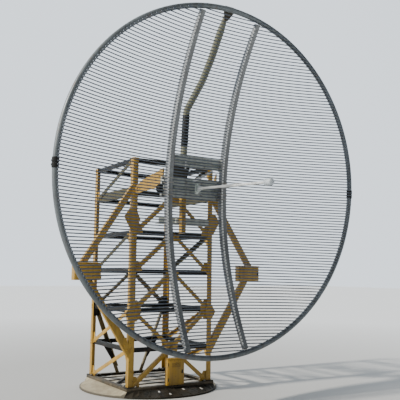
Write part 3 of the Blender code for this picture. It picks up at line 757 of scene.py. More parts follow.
rim_slope = math.atan(RIM_SEAT_RADIUS / (2 * FOCAL_LENGTH))
top_seat = Matrix.Translation(on_dish(0, RIM_SEAT_RADIUS, RIM_OFFSET + RIM_TUBE_RADIUS + 0.001))
top_place = reflector_place @ top_seat @ Matrix.Rotation(rim_slope, 4, "X")
shape = bmesh.new()
upright_plate(shape, mirrored([(0.085, 0.030), (0.080, -0.035), (0.025, -0.150)]), 0.0, BRACKET_STEEL)
upright_plate(shape, mirrored([(0.060, 0.030), (0.060, 0.022)]), BRACKET_STEEL, BRACKET_LIP)
new_piece("top_bracket_plate", shape, ground_finish, "rim_top_bracket", place=top_place, bevel=0.0015)
top_places = [((x, BRACKET_STEEL, z), (0, 1, 0))
              for x, z in ((-0.045, 0.008), (0.045, 0.008), (-0.052, -0.040), (0.052, -0.040))]
bolts("top_bracket_bolts", moved(top_places, top_place), 0.9)
tip_hoops = [u_bolt((0, ARM_FROM_BRACKET + half + 0.004, z), half + 0.005, -ARM_FROM_BRACKET - half)
             for z, half in ((-0.075, 0.025), (-0.120, 0.029))]
pipes("arm_tip_u_bolts", tip_hoops, 0.005, fastener, place=top_place)

# %% [markdown]
# Behind the ribs sits the hub: a deep main beam of two box tubes with a recessed web between them, a
# smaller beam above, a plate and a slanting stay that tie the two, and U-bolts that hold the ribs. These
# are drawn in the reflector's own frame, so they lean with it.

# %% Hub beams
MAIN_FRONT, MAIN_BACK = 0.0780, 0.1778
MAIN_LOW, MAIN_HIGH = -0.205, 0.065
MAIN_HALF = 0.47
TUBE_HEIGHT = 0.108
END_PLATE = 0.008
WEB_RECESS = 0.035
WEB_STIFFENERS = (-0.30, -0.10, 0.10, 0.30)
web_low, web_high = MAIN_LOW + TUBE_HEIGHT - 0.001, MAIN_HIGH - TUBE_HEIGHT + 0.001
shape = bmesh.new()
inner = MAIN_HALF - END_PLATE
block(shape, (-inner, MAIN_FRONT, MAIN_HIGH - TUBE_HEIGHT), (inner, MAIN_BACK, MAIN_HIGH))
block(shape, (-inner, MAIN_FRONT, MAIN_LOW), (inner, MAIN_BACK, MAIN_LOW + TUBE_HEIGHT))
block(shape, (-inner, MAIN_FRONT + WEB_RECESS, web_low), (inner, MAIN_BACK - WEB_RECESS, web_high))
for x in WEB_STIFFENERS:
    block(shape, (x - 0.004, MAIN_FRONT + 0.004, web_low), (x + 0.004, MAIN_FRONT + 0.036, web_high))
for sign in (-1, 1):
    block(shape, (sign * inner, MAIN_FRONT, MAIN_LOW), (sign * MAIN_HALF, MAIN_BACK, MAIN_HIGH))
new_piece("main_beam", shape, beam_finish, "hub_main_beam", place=reflector_place, bevel=0.004)

UPPER_FRONT, UPPER_BACK = 0.020, 0.085
UPPER_LOW, UPPER_HIGH = 0.215, 0.365
UPPER_HALF = 0.3955
SPLIT_LOW, SPLIT_HIGH = 0.256, 0.285
shape = bmesh.new()
inner = UPPER_HALF - END_PLATE
block(shape, (-inner, UPPER_FRONT, SPLIT_HIGH), (inner, UPPER_BACK, UPPER_HIGH))
block(shape, (-inner, UPPER_FRONT + 0.028, SPLIT_LOW - 0.001),
      (inner, UPPER_BACK - 0.004, SPLIT_HIGH + 0.001))
block(shape, (-inner, UPPER_FRONT, UPPER_LOW), (inner, UPPER_BACK, SPLIT_LOW))
for sign in (-1, 1):
    block(shape, (sign * inner, UPPER_FRONT - 0.012, UPPER_LOW - 0.012),
          (sign * UPPER_HALF, UPPER_BACK + 0.010, UPPER_HIGH + 0.010))
new_piece("upper_beam", shape, beam_finish, "hub_upper_beam", place=reflector_place, bevel=0.003)

shape = bmesh.new()
upright_plate(shape, [(-0.385, MAIN_HIGH), (-0.385, UPPER_LOW), (-0.075, UPPER_LOW), (-0.115, MAIN_HIGH)],
              MAIN_FRONT + 0.002, MAIN_FRONT + 0.007)
new_piece("hub_tie_plate", shape, ground_finish, place=reflector_place, bevel=0.001)
stay_front, strap_front = MAIN_FRONT - 0.0005, UPPER_FRONT - 0.001
shape = bmesh.new()
sweep(shape, bar_section(0.032, 0.006), (-0.02, stay_front, 0.03), (0.30, stay_front, 0.205), UP)
sweep(shape, bar_section(0.020, 0.006), (-0.185, strap_front, 0.17), (-0.185, strap_front, 0.30), (1, 0, 0))
new_piece("hub_stays", shape, pale_zinc_and_painted_highlight, place=reflector_place, bevel=0.001)

# %% [markdown]
# U-bolts hold the ribs to the main beam, and dark brackets with a pivot boss close the beam's ends.

# %% Rib U-bolts and end brackets
HOOP_HEIGHTS = (0.040, -0.020, -0.120, -0.180)
BEAM_BOLTS = (-0.36, -0.12, 0.12, 0.36)
BOSS_OUT, BOSS_HEIGHT, BOSS_RADIUS = 0.510, -0.10, 0.019
rib_front = -RIB_PROUD + RIB_LIFT - 0.007
hoop_half = RIB_WIDTH / 2 + 0.007
hoops = []
nut_places = []
shape = bmesh.new()
for side, sign in sides:
    for z in HOOP_HEIGHTS:
        hoops.append(u_bolt((sign * RIB_OFFSET, rib_front, z), hoop_half, MAIN_FRONT - rib_front))
        block(shape, (sign * (MAIN_HALF + SKIN_GAP), MAIN_FRONT, z - 0.02),
              (sign * 0.495, MAIN_FRONT + 0.008, z + 0.02))
    hoop_legs = (sign * RIB_OFFSET - hoop_half, sign * RIB_OFFSET + hoop_half)
    nut_places += on_front(hoop_legs, MAIN_FRONT, HOOP_HEIGHTS)
    outline = [(sign * x, z) for x, z in ((0.4702, -0.155), (0.4702, -0.045), (0.510, -0.045),
                                          (0.540, -0.072), (0.540, -0.128), (0.510, -0.155))]
    for front in (MAIN_FRONT + 0.016, MAIN_BACK - 0.025):
        upright_plate(shape, outline, front, front + 0.008)
    boss_ends = [(sign * BOSS_OUT, y, BOSS_HEIGHT) for y in (MAIN_FRONT + 0.008, MAIN_BACK - 0.008)]
    rod(shape, *boss_ends, BOSS_RADIUS, 18)
new_piece("hub_end_brackets", shape, dark, place=reflector_place, bevel=0.0012)
pipes("rib_u_bolts", hoops, 0.006, fastener, place=reflector_place)
for front, heights in ((MAIN_FRONT, (0.012, -0.152)), (UPPER_FRONT, (0.245, 0.335))):
    nut_places += on_front(BEAM_BOLTS, front, heights)
bolts("hub_bolts", moved(nut_places, reflector_place), 0.9)

# %% [markdown]
# The mast is a square tube with round corners behind the hub. Its lower end is held by a cross beam on the
# tower's face, and from its capped top a bent pipe rises to the top of the rim. The mast is yellow like
# the tower, the pipe a dull khaki.

# %% Mast, bent arm and clamps
CAP_EDGE = 0.008
CLAMP_STEEL = 0.010
ARM_FIRST_BEND = 3.25
ARM_BENDS = ((-0.963, 3.94), (-1.36, 4.25), (-1.60, 4.53))
COLLAR_HEIGHTS = (3.002, 3.038)
SLEEVE_SHARES = (0.25, 0.90)
mast_low, mast_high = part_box("mast")
mast_half = (mast_high.x - mast_low.x) / 2
mast_line = (mast_high.y + mast_low.y) / 2
mast_front, mast_back = mast_line - mast_half, mast_line + mast_half
section = rounded_box(2 * mast_half, 2 * mast_half, 0.010)
shape = bmesh.new()
follow(shape, [[(a, mast_line + b, z) for a, b in section] for z in (mast_low.z, mast_high.z - 0.010)])
block(shape, (-mast_half - CAP_EDGE, mast_front - CAP_EDGE, mast_high.z - 0.0098),
      (mast_half + CAP_EDGE, mast_back + CAP_EDGE, mast_high.z))
new_piece("mast_tube", shape, yellow, "mast", smooth=40.0)


def clamp(name, node, beam_back, low_up, high_up, half_width, held_half):
    """Four welded plates between a beam of the hub, which leans, and the upright mast."""
    shape = bmesh.new()
    front = mast_line - held_half - SEAT_GAP
    lower, upper = (reflector_place @ Vector((0, beam_back + SEAT_GAP, up)) for up in (low_up, high_up))
    outline = [(lower.y, lower.z), (front, lower.z + 0.012), (front, upper.z - 0.012), (upper.y, upper.z)]
    for x in (-half_width, half_width - CLAMP_STEEL):
        side_plate(shape, outline, x, x + CLAMP_STEEL)
    block(shape, (-half_width - 0.012, front - CLAMP_STEEL, lower.z), (half_width + 0.012, front, upper.z))
    block(shape, (-half_width - 0.020, beam_back + SEAT_GAP, low_up),
          (half_width + 0.020, beam_back + CLAMP_STEEL, high_up), reflector_place)
    middle = (lower.z + upper.z) / 2
    block(shape, (-half_width + 0.009, (lower.y + upper.y) / 2 + 0.008, middle - 0.004),
          (half_width - 0.009, front - 0.009, middle + 0.004))
    new_piece(name, shape, dark, node, bevel=0.0015)


clamp("mast_saddle_lower", "mast_clamp_lower", MAIN_BACK, -0.13, 0.0, 0.070, mast_half)
clamp("mast_saddle_upper", "mast_clamp_upper", UPPER_BACK, 0.24, 0.34, 0.050, ARM_RADIUS)
arm_corners = [Vector((0, mast_line, z)) for z in (mast_high.z + SEAT_GAP, ARM_FIRST_BEND)]
arm_corners += [Vector((0, y, z)) for y, z in ARM_BENDS]
arm_corners += [top_place @ Vector((0, ARM_FROM_BRACKET, along)) for along in ARM_ALONG_BRACKET]
arm_path = rounded_path(arm_corners, 0.055)
pipes("bent_arm", [arm_path], ARM_RADIUS, khaki, "mast_arm", tip_radius=ARM_TIP_RADIUS)
collar_ends = [(0, mast_line, z) for z in COLLAR_HEIGHTS]
sleeve_ends = [arm_corners[1].lerp(arm_corners[2], share) for share in SLEEVE_SHARES]
shape = bmesh.new()
rod(shape, *collar_ends, ARM_RADIUS + 0.008, 20)
rod(shape, *sleeve_ends, ARM_RADIUS + 0.003, 20)
new_piece("arm_sleeves", shape, dark, bevel=0.0015)

# %% [markdown]
# Three pairs of U-bolts hold the mast to its cross beam, the mast to the lower clamp and the pipe to the
# upper one.

# %% Cross beam and U-bolts of the mast
STEM_BACK = -0.7605
FOOT_STIFFENERS = (-0.22, 0.18, 0.42)
CLAMP_HOOP_HEIGHTS = (2.76, 2.84)
ARM_HOOP_HEIGHTS = (3.12, 3.17)
foot_low, foot_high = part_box("mast_foot_bracket")
shape = bmesh.new()
level_channel(shape, (foot_low.x, foot_high.x), STEM_BACK, (foot_low.z, foot_high.z),
              foot_high.y - STEM_BACK, 0.008)
block(shape, (-0.078, mast_back + SEAT_GAP, foot_low.z), (0.078, mast_back + 0.010, foot_high.z))
for x in (-0.046, 0.038):
    block(shape, (x, mast_back + 0.009, foot_low.z + 0.010),
          (x + 0.008, STEM_BACK + 0.001, foot_high.z - 0.010))
for x in FOOT_STIFFENERS:
    block(shape, (x - 0.003, STEM_BACK + 0.007, foot_low.z + 0.007),
          (x + 0.003, foot_high.y - 0.006, foot_high.z - 0.007))
new_piece("mast_cross_beam", shape, beam_finish, "mast_foot_bracket", bevel=0.0015, slot="dark_steel")
mast_hoops = [u_bolt((0, mast_front - 0.007, z), mast_half + 0.008, 2 * mast_half + 0.025)
              for z in (foot_low.z + 0.022, foot_high.z - 0.022)]
mast_hoops += [u_bolt((0, mast_back + 0.007, z), mast_half + 0.009, -2 * mast_half - 0.06)
               for z in CLAMP_HOOP_HEIGHTS]
pipes("mast_u_bolts", mast_hoops, 0.007, fastener)
arm_hoops = [u_bolt((0, mast_line + ARM_RADIUS + 0.007, z), ARM_RADIUS + 0.009, -2 * ARM_RADIUS - 0.04)
             for z in ARM_HOOP_HEIGHTS]
pipes("arm_u_bolts", arm_hoops, 0.006, fastener)

# %% [markdown]
# The boom stands on a small socket with a flange. It is a thin pale tube, sleeved where two lengths meet,
# and carries a little drum-shaped feed. Turned shapes like these are a profile spun round an axis.

# %% Boom and feed
boom_front, block_front = (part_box(node)[0].y for node in ("feed_boom", "boom_block"))
axis = reflector_turn @ Vector(FORWARDS)
beside_axis = (Vector(UP) - axis * axis.z).normalized()
boom_root = reflector_place @ Vector((0, 0, -0.07))
boom_root += axis * ((boom_root.y - block_front) / -axis.y - 0.006)
boom_length = (boom_root.y - boom_front) / -axis.y


def turned_shape(profile, start, count=28):
    """A profile of (distance along the boom's axis, radius), spun round it and closed at both ends."""
    other = axis.cross(beside_axis)
    return follow(bmesh.new(), [[start + axis * distance + beside_axis * a + other * b
                                 for a, b in round_section(radius, count)] for distance, radius in profile])


shape = bmesh.new()
block(shape, (-0.035, -0.012, -0.140), (0.035, -0.004, 0.0))
block(shape, (-0.026, -0.052, -0.110), (0.026, -0.010, -0.030))
new_piece("boom_socket", shape, flange_finish, "boom_block", place=reflector_place, bevel=0.003)
boom_profile = ((-0.02, 0.030), (0.012, 0.030), (0.016, 0.024), (0.060, 0.024), (0.066, 0.017), (0.55, 0.017),
                (0.555, 0.0205), (0.86, 0.0205), (0.865, 0.0155), (boom_length, 0.0155))
new_piece("boom_tube", turned_shape(boom_profile, boom_root), pale, "feed_boom", smooth=35.0)
feed_profile = ((0.0, 0.020), (0.004, 0.036), (0.008, 0.042), (0.020, 0.042), (0.022, 0.038), (0.034, 0.038),
                (0.036, 0.042), (0.098, 0.042), (0.114, 0.037), (0.122, 0.022), (0.1235, 0.004))
feed_root = boom_root + axis * (boom_length + SKIN_GAP)
new_piece("feed_drum", turned_shape(feed_profile, feed_root, 36), feed_finish, "feed", smooth=35.0)
socket_bolts = on_front((-0.024, 0.024), -0.012, (-0.128, -0.012))
bolts("boom_bolts", moved(socket_bolts, reflector_place), 0.55)

# %% [markdown]
# The posts are rolled angles. Their toes and their inner corner are rounded, so they are swept from a
# section with those curves. Each stands on a foot plate with four anchor bolts.

# %% Corner posts and feet
FOOT_PLATE = 0.010


def angle_section(flange, steel):
    """A rolled angle, corner at zero, with a root radius and rounded toes."""
    toe, root = steel * 0.4, steel * 0.8
    points = [(0, 0), (flange, 0), (flange, steel - toe), (flange - toe, steel), (steel + root, steel)]
    points += [(steel + root * 0.3, steel + root * 0.3), (steel, steel + root), (steel, flange - toe)]
    return points + [(steel - toe, flange), (0, flange)]


corner_names = (("front_left", -1, -1), ("front_right", 1, -1), ("back_right", 1, 1), ("back_left", -1, 1))
foot_bolts = []
feet = bmesh.new()
for number, (name, x, y) in enumerate(corner_names):
    corner_place = Matrix.Translation((x * TOWER_HALF, y * TOWER_HALF, 0)) @ quarter_turn(number)
    outline = angle_section(LEG_FLANGE, LEG_THICKNESS)
    ends = (FOOT_HEIGHT + FOOT_PLATE + 0.0005, TOWER_TOP)
    shape = follow(bmesh.new(), [[(a, b, z) for a, b in outline] for z in ends])
    new_piece("post_" + name, shape, yellow, "leg_" + name, place=corner_place, bevel=0.0012, smooth=35.0)
    block(feet, (-0.025, -0.025, FOOT_HEIGHT), (0.135, 0.135, FOOT_HEIGHT + FOOT_PLATE), corner_place)
    foot_bolts += [(corner_place @ Vector((a, b, FOOT_HEIGHT + FOOT_PLATE)), UP)
                   for a, b in ((-0.008, 0.112), (0.112, -0.008), (0.112, 0.112), (0.045, 0.045))]
new_piece("foot_plates", feet, dark, bevel=0.0015)
bolts("anchor_bolts", foot_bolts, 1.1)

# %% [markdown]
# Each side of the tower is dark channels with yellow angles between them. The four sides are drawn once,
# in a frame that looks at the side from outside, and turned round the tower. Going inwards come the
# posts' flanges, the diagonals, the node plates they are bolted to, and the channels. On the flanks, the
# left and right sides, the channel at the hub's height is deeper. It and the upper diagonals are coloured a
# dark moss: the channel's own dull paint with painted shade, and on the yellow diagonals painted shade alone.

# %% Tower sides
BEAM_HEIGHT = 0.06
BEAM_DEPTH = 0.045
DEEP_BEAM = (2.715, 2.84)
STEEL = 0.006
BRACE_WIDTH = 0.055
BRACE_PAST_END = 0.03
LIP_CUT = 0.10
DEEP_VEE_FOOT = 0.20
PLATE_HEIGHT = 0.145
HANGING_DROP = 0.25
RAILS = (FOOT_HEIGHT, *LEVELS)
REACH = TOWER_HALF - 0.06
POST_BOLT = TOWER_HALF - 0.028
brace_plane = -(TOWER_HALF - LEG_THICKNESS)
plate_plane = brace_plane + STEEL + SKIN_GAP
beam_plane = plate_plane + STEEL + SKIN_GAP
inside_posts = TOWER_HALF - LEG_THICKNESS - 0.002


def brace_ends(kind, bay):
    """Where the diagonals of one bay start and end, as (across, up)."""
    low = RAILS[bay]
    high = RAILS[bay + 2] if kind == "deep vee" else RAILS[bay + 1]
    return {
        "open": [],
        "roof": [((-REACH, low), (0, high)), ((REACH, low), (0, high))],
        "vee": [((0, low), (-REACH, high)), ((0, low), (REACH, high))],
        "deep vee": [((side * DEEP_VEE_FOOT, low), (side * REACH, high)) for side in (-1, 1)],
        "rise": [((-REACH, low), (REACH, high))],
        "fall": [((REACH, low), (-REACH, high))],
    }[kind]


def add_brace(shape, start, end):
    """An angle along a diagonal: a flat flange, and one that stands inwards and is cut back at the ends."""
    start, end = Vector((start[0], brace_plane, start[1])), Vector((end[0], brace_plane, end[1]))
    along = (end - start).normalized()
    rise = along.cross(Vector((0, 1, 0)))
    if rise.z < 0:
        rise.negate()
    half = BRACE_WIDTH / 2
    lip = [(half - STEEL, STEEL), (half, STEEL), (half, BRACE_WIDTH), (half - STEEL, BRACE_WIDTH)]
    for section, cut in ((bar_section(BRACE_WIDTH, STEEL), -BRACE_PAST_END), (lip, LIP_CUT)):
        corners = [rise * a + Vector((0, b, 0)) for a, b in section]
        carry(shape, corners, (start + along * cut, end - along * cut))
    return [start + along * 0.015, start + along * 0.062, end - along * 0.015, end - along * 0.062]


def node_plate(shape, x, z, upwards):
    """The plate behind the end of a diagonal. At a post it has one slanting edge, in the middle two."""
    tall, short = (PLATE_HEIGHT, 0.0005) if upwards else (-PLATE_HEIGHT, -0.0005)
    outline = mirrored([(0.105, short), (0.105, tall * 0.25), (0.045, tall * 0.66)])
    if abs(x) > 0.3:
        side = 1 if x > 0 else -1
        x = side * inside_posts
        outline = [(-side * inwards, up) for inwards, up in (
            (0, short), (0.165, short), (0.165, tall * 0.28), (0.105, tall), (0, tall))]
    upright_plate(shape, [(x + a, z + b) for a, b in outline], plate_plane, plate_plane + STEEL)


def hanging_plate(shape, x, lean):
    """A narrow plate that hangs from the lowest beam and points down along a diagonal that passes it."""
    top = LEVELS[0] - BEAM_HEIGHT / 2
    tip = lean * HANGING_DROP
    outline = [(-0.085, 0.04), (0.085, 0.04), (0.085, 0), (tip + 0.02, -HANGING_DROP),
               (tip - 0.02, -HANGING_DROP), (-0.085, 0)]
    upright_plate(shape, [(x + a, top + b) for a, b in outline], plate_plane, plate_plane + STEEL)


# %% [markdown]
# A side is described by its bays, from the foot up. In each bay the diagonals meet at the top, meet at
# the foot or run one way, or the bay is open. Plates and bolts are added where the diagonals end.

# %% Four sides from one drawing
def build_side(name, number, kinds, finish=yellow, plate_finish=yellow):
    on_flank = number % 2 == 1
    half = TOWER_HALF - 0.068 if on_flank else inside_posts
    finishes = {"beams": dark, "deep_beam": moss_paint_and_painted_shade, "braces": finish, "upper_braces": moss_paint_and_painted_shade,
                "node_plates": plate_finish}
    shapes = {part: bmesh.new() for part in finishes}
    for up in LEVELS:
        part, heights = "beams", (up - BEAM_HEIGHT / 2, up + BEAM_HEIGHT / 2)
        if on_flank and up == LEVELS[-2]:
            part, heights = "deep_beam", DEEP_BEAM
        level_channel(shapes[part], (-half, half), beam_plane, heights, BEAM_DEPTH, STEEL)
    places = []
    on_post = TOWER_HALF - LEG_FLANGE + 0.010
    plate_spots = set()
    for bay, kind in enumerate(kinds):
        # The flanks' upper diagonals take the moss finish, which is painted shade.
        part = "upper_braces" if on_flank and bay > 2 else "braces"
        for start, end in brace_ends(kind, bay):
            for spot in add_brace(shapes[part], start, end):
                depth = -TOWER_HALF if abs(spot.x) > on_post else brace_plane
                places.append(((spot.x, depth - SKIN_GAP, spot.z), FORWARDS))
            plate_spots.add((*end, False))
            if kind == "deep vee":
                lean = (start[0] - end[0]) / (end[1] - start[1])
                hanging_plate(shapes["node_plates"], start[0] - lean * (LEVELS[0] - start[1]), lean)
            else:
                plate_spots.add((*start, True))
    for plate_spot in sorted(plate_spots):
        node_plate(shapes["node_plates"], *plate_spot)
    place = quarter_turn(number)
    for part, shape in shapes.items():
        if shape.verts:
            nodes = ("tower_%s_side" % name,) if part in ("beams", "braces") else ()
            new_piece(part + "_" + name, shape, finishes[part], *nodes, place=place, bevel=0.001)
    for up in LEVELS:
        places += on_front((-POST_BOLT, POST_BOLT), -TOWER_HALF - SKIN_GAP, (up - 0.018, up + 0.018))
    return moved(places, place)


tower_bolts = build_side("front", 0, ("roof", "vee", "roof", "roof", "roof", "open"))
tower_bolts += build_side("right", 1, ("fall", "fall", "open", "fall", "open", "fall"))
# The back side's diagonals are yellow steel coloured olive, and its node plates are coloured dark: both are
# painted shade.
tower_bolts += build_side("back", 2, ("deep vee", "open", "roof", "open", "open", "open"), painted_shade_olive, dark)
tower_bolts += build_side("left", 3, ("rise", "rise", "open", "rise", "open", "rise"))
bolts("tower_bolts", tower_bolts, 0.85, yellow)

# %% [markdown]
# Boxes on the tower are pressed steel. Each has a body with rounded edges, a door or lid that stands a
# little proud over a dark seal, hinges, a latch and a folded edge on top that throws the rain off.

# %% Control box and outrigger boxes
DOOR_PROUD = 0.010
SEAL_INSET = 0.004


def steel_box(name, node, has_door, latch_side):
    low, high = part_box(node)
    body, trim = bmesh.new(), bmesh.new()
    front = low.y + DOOR_PROUD
    middle_y = (low.y + high.y) / 2
    block(body, (low.x, front, low.z), (high.x, high.y, high.z - 0.006))
    roof = [(low.y - 0.004, high.z - 0.012), (low.y - 0.004, high.z - 0.006), (high.y, high.z),
            (high.y, high.z - 0.006)]
    side_plate(body, roof, low.x - 0.008, high.x + 0.008)
    edge = 0.014 if has_door else 0.006
    left, right = low.x + edge, high.x - edge
    bottom, top = low.z + edge + 0.006, high.z - edge - 0.012
    block(body, (left, low.y, bottom), (right, front - 0.003, top))
    block(trim, (left + SEAL_INSET, front - 0.0035, bottom + SEAL_INSET),
          (right - SEAL_INSET, front + 0.001, top - SEAL_INSET))
    hinge_x, latch_x = (left - 0.003, right - 0.024) if latch_side > 0 else (right + 0.003, left + 0.024)
    for share in (0.18, 0.82):
        z = bottom + (top - bottom) * share
        rod(trim, (hinge_x, low.y + 0.002, z - 0.022), (hinge_x, low.y + 0.002, z + 0.022), 0.005, 10)
    z = (bottom + top) / 2
    block(trim, (latch_x - 0.009, low.y - 0.005, z - 0.024), (latch_x + 0.009, low.y, z + 0.024))
    rod(trim, (latch_x, low.y - 0.014, z), (latch_x, low.y - 0.004, z), 0.007, 12)
    for share in (0.3, 0.5, 0.7):
        x = low.x + (high.x - low.x) * share
        rod(trim, (x, middle_y, low.z - 0.016), (x, middle_y, low.z + 0.001), 0.010, 12)
    for step in range(5 if has_door else 0):
        z = top - 0.045 - 0.012 * step
        block(trim, (left + 0.05, low.y - 0.0015, z), (right - 0.05, low.y + 0.001, z + 0.004))
    new_piece(name, body, yellow, node, bevel=0.0025)
    new_piece(name + "_fittings", trim, dark, bevel=0.0008)


steel_box("control_cabinet", "control_box", True, 1)
for side, sign in sides:
    steel_box("outrigger_case_" + side, "outrigger_box_" + side, False, sign)

# %% [markdown]
# The outriggers' struts are folded channels that taper. Each is a front web with two flanges behind it
# along the long edges, drawn from four corners that are given at the outrigger box and the post's face.

# %% Outrigger struts and gusset plates
WEB_STEEL = 0.008
FLANGE_STEEL = 0.007
STRUT_DEPTH = 0.060
box_low, box_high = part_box("outrigger_box_right")
box_middle = (box_low.x + box_high.x) / 2
leg_face = TOWER_HALF + SEAT_GAP
STRUTS = {
    "upper": ((box_middle - 0.01, box_high.z), (box_middle + 0.09, box_high.z),
              (leg_face, 2.87), (leg_face, 2.73)),
    "lower": ((box_middle + 0.025, box_low.z), (box_middle - 0.085, box_low.z),
              (leg_face, 0.70), (leg_face, 0.51))}
GUSSET_BOLTS = ((0.60, 2.47), (0.72, 2.47), (0.60, 2.36), (0.72, 2.38), (0.645, 2.26), (0.60, 1.14),
                (0.60, 1.06), (0.69, 1.10))
STRUT_BOLTS = ((0.69, 2.74), (0.72, 2.68), (0.69, 0.62), (0.72, 0.68))


def flange_outline(start, end, centre):
    """A strip along an edge of the strut, on the side where its centre lies."""
    along = (end - start).normalized()
    inwards = Vector((-along.y, along.x)) * FLANGE_STEEL
    if inwards.dot(centre - start) < 0:
        inwards.negate()
    return [start, end, end + inwards, start + inwards]


strut_bolts = []
for side, sign in sides:
    for part, outline in STRUTS.items():
        corners = [Vector((sign * x, z)) for x, z in outline]
        centre = sum(corners, Vector((0, 0))) / 4
        shape = bmesh.new()
        upright_plate(shape, corners, -TOWER_HALF, -TOWER_HALF + WEB_STEEL)
        for first in (1, 3):
            flange = flange_outline(corners[first], corners[(first + 1) % 4], centre)
            upright_plate(shape, flange, -TOWER_HALF + WEB_STEEL - 0.0005, -TOWER_HALF + STRUT_DEPTH)
        node = "outrigger_%s_strut_%s" % (part, side)
        new_piece("strut_%s_%s" % (part, side), shape, yellow, node, bevel=0.0015)
    for spots, proud in ((GUSSET_BOLTS, 0.0105), (STRUT_BOLTS, SKIN_GAP)):
        strut_bolts += [((sign * x, -TOWER_HALF - proud, z), FORWARDS) for x, z in spots]
bolts("outrigger_bolts", strut_bolts, 0.9, yellow)

# %% [markdown]
# At the ground the square frame is made of channels on their side. Inside it lie pale slabs between dark
# bars, and one more bar crosses them aslant.

# %% Base frame and slabs
SLAB_EDGES = (-0.60, -0.33, -0.10, 0.16, 0.40, 0.60)
SLAB_HALF = 0.575
SLAB_LOW, SLAB_HIGH = 0.0805, 0.092
SLAB_GAP = 0.020
BAR_HALF_LENGTH, BAR_HALF_WIDTH, BAR_HIGH = 0.606, 0.014, 0.104
SLANT_ENDS = ((-0.60, -0.22, 0.109), (0.05, 0.58, 0.109))
frame_low, frame_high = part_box("base_frame")
frame_half = frame_high.x
shape = bmesh.new()
for number in range(4):
    level_channel(shape, (-frame_half, frame_half), -frame_half, (frame_low.z, frame_high.z), 0.080, 0.006,
                  quarter_turn(number))
new_piece("ground_frame", shape, ground_finish, "base_frame", bevel=0.001)

shape, slabs = bmesh.new(), bmesh.new()
for number, (near, far) in enumerate(zip(SLAB_EDGES, SLAB_EDGES[1:])):
    shift = 0.012 * math.sin(5.0 * number)
    block(slabs, (-SLAB_HALF + shift, near + SLAB_GAP, SLAB_LOW),
          (SLAB_HALF + shift, far - SLAB_GAP, SLAB_HIGH + 0.003 * (number % 2)))
    if number > 0:
        block(shape, (-BAR_HALF_LENGTH, near - BAR_HALF_WIDTH, SLAB_LOW),
              (BAR_HALF_LENGTH, near + BAR_HALF_WIDTH, BAR_HIGH))
sweep(shape, channel_section(0.03, 0.03, 0.004), *SLANT_ENDS, UP)
new_piece("cross_bars", shape, dark, bevel=0.001)
new_piece("floor_slabs", slabs, slab_finish, bevel=0.003)

# %% [markdown]
# The sloping plates in front meet at seams that fan out from the tower. Over each lies a thin cover strip
# with a bolt near either end, and a few strips carry a small bright cleat.

# %% Cover strips and cleats on the front plates
SEAMS = 9
FIRST_SEAM, SEAM_STEP = -126, 9
STRIP_RADIUS = 0.985
STRIP_WIDTH, STRIP_STEEL = 0.026, 0.003
EDGE_HEIGHT = 0.0218
RIDGE, RIDGE_HEIGHT = 0.7103, 0.0795
CLEAT_HEIGHT = 0.006
CLEATS = {2: 0.35, 3: 0.72, 5: 0.30, 7: 0.55}
CLEAT_OUTLINE = ((-0.012, -0.022), (0.012, -0.022), (0.012, 0.022), (-0.012, 0.022))
shape, cleats = bmesh.new(), bmesh.new()
strip_bolts = []
for step in range(SEAMS):
    turn = math.radians(FIRST_SEAM + SEAM_STEP * step)
    outer = Vector((math.cos(turn) * STRIP_RADIUS, math.sin(turn) * STRIP_RADIUS, EDGE_HEIGHT))
    ridge_end = Vector((-outer.x * RIDGE / outer.y, -RIDGE - 0.004, RIDGE_HEIGHT))
    sideways = Vector((-math.sin(turn), math.cos(turn), 0))
    away = (outer - ridge_end).normalized()
    normal = sideways.cross(outer - ridge_end).normalized()
    normal = normal if normal.z > 0 else -normal
    section = [sideways * a + normal * b for a, b in bar_section(STRIP_WIDTH, STRIP_STEEL)]
    carry(shape, section, (ridge_end, outer))
    for share in (0.12, 0.88):
        strip_bolts.append((ridge_end.lerp(outer, share) + normal * STRIP_STEEL, normal))
    if step in CLEATS:
        spot = ridge_end.lerp(outer, CLEATS[step]) + normal * (STRIP_STEEL + SKIN_GAP)
        corners = [sideways * a + away * b for a, b in CLEAT_OUTLINE]
        carry(cleats, corners, (spot, spot + normal * CLEAT_HEIGHT))
new_piece("apron_strips", shape, deck_painted_shade, bevel=0.0006)
new_piece("apron_cleats", cleats, pale_zinc_and_painted_highlight, bevel=0.0012)
bolts("apron_bolts", strip_bolts, 0.6, deck_painted_shade)

# %% [markdown]
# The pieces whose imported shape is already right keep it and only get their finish. The arms to the tower
# also get bolts on their outer faces.

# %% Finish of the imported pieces
ARM_BOLTS = ((-0.69, 2.775), (-0.73, 2.805), (-0.69, 2.81), (-1.04, 2.85), (-1.04, 2.95), (-0.98, 2.90))
packed_finishes = {"plinth": plinth_finish, "front_deck": deck_painted_shade}
for side, sign in sides:
    for name in ("hub_arm_", "gusset_upper_", "gusset_lower_"):
        packed_finishes[name + side] = yellow
for name, material in packed_finishes.items():
    node = frame["nodes"][name]
    node.data.materials.clear()
    node.data.materials.append(material)

arm_bolts = []
for side, sign in sides:
    arm_low, arm_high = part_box("hub_arm_" + side)
    near, far = min(abs(arm_low.x), abs(arm_high.x)) + 0.019, max(abs(arm_low.x), abs(arm_high.x))
    arm_length = arm_high.y - arm_low.y
    outward = Vector((sign * arm_length, near - far, 0)).normalized()
    for y, z in ARM_BOLTS:
        x = near + (far - near) * (y - arm_low.y) / arm_length
        arm_bolts.append(((sign * x, y, z), outward))
bolts("hub_arm_bolts", arm_bolts, 0.9, yellow)
print(len(packed_finishes), "packed pieces painted")

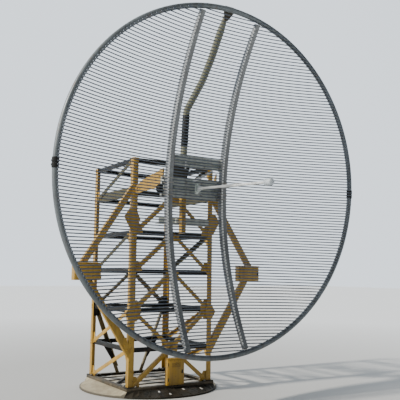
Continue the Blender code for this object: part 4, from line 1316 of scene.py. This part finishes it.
# %% [markdown]
# The studio is plain: a pale floor, a soft sky that is brighter behind the antenna than in front of it,
# so the bars stand dark against it, and a sun from the left, where it stood in the photograph.

# %% Floor and light
FLOOR_HALF = 60.0
FLOOR_HEIGHT = -0.002
SUN_FROM = Vector((-0.84, 0.04, 0.54))
floor_mesh = bpy.data.meshes.new("floor")
floor_shape = bmesh.new()
bmesh.ops.create_grid(floor_shape, x_segments=1, y_segments=1, size=FLOOR_HALF)
floor_shape.to_mesh(floor_mesh)
floor_shape.free()
floor = bpy.data.objects.new("floor", floor_mesh)
floor.location.z = FLOOR_HEIGHT
bpy.context.scene.collection.objects.link(floor)
floor_finish = bpy.data.materials.new("studio_floor")
floor_finish.use_nodes = True
floor_shader = floor_finish.node_tree.nodes["Principled BSDF"]
floor_shader.inputs["Roughness"].default_value = 0.9
floor_place = make(floor_finish.node_tree, "ShaderNodeTexCoord")["Object"]
far_away = mask(distance_from_middle(floor_place), 3.0, 14.0)
wire(blend_colour(far_away, (0.50, 0.50, 0.49), (0.86, 0.88, 0.90)), floor_shader.inputs["Base Color"])
floor_mesh.materials.append(floor_finish)

world = bpy.data.worlds.new("studio")
world.use_nodes = True
sky = world.node_tree
direction = make(sky, "ShaderNodeSeparateXYZ", {"Vector": make(sky, "ShaderNodeTexCoord")["Generated"]})
strength = make(sky, "ShaderNodeMapRange", {
    "Value": direction["Y"], "From Min": -0.2, "From Max": 0.7, "To Min": 0.28, "To Max": 1.6},
    interpolation_type="SMOOTHSTEP")["Result"]
wire(strength, sky.nodes["Background"].inputs["Strength"])
sky.nodes["Background"].inputs["Color"].default_value = (0.84, 0.92, 1.0, 1.0)
bpy.context.scene.world = world

sun_data = bpy.data.lights.new("sun", "SUN")
sun_data.energy = 5.0
sun_data.angle = math.radians(3)
sun_data.color = (1.0, 0.94, 0.84)
sun = bpy.data.objects.new("sun", sun_data)
sun.matrix_world = SUN_FROM.to_track_quat("Z", "Y").to_matrix().to_4x4()
bpy.context.scene.collection.objects.link(sun)
print("studio ready")
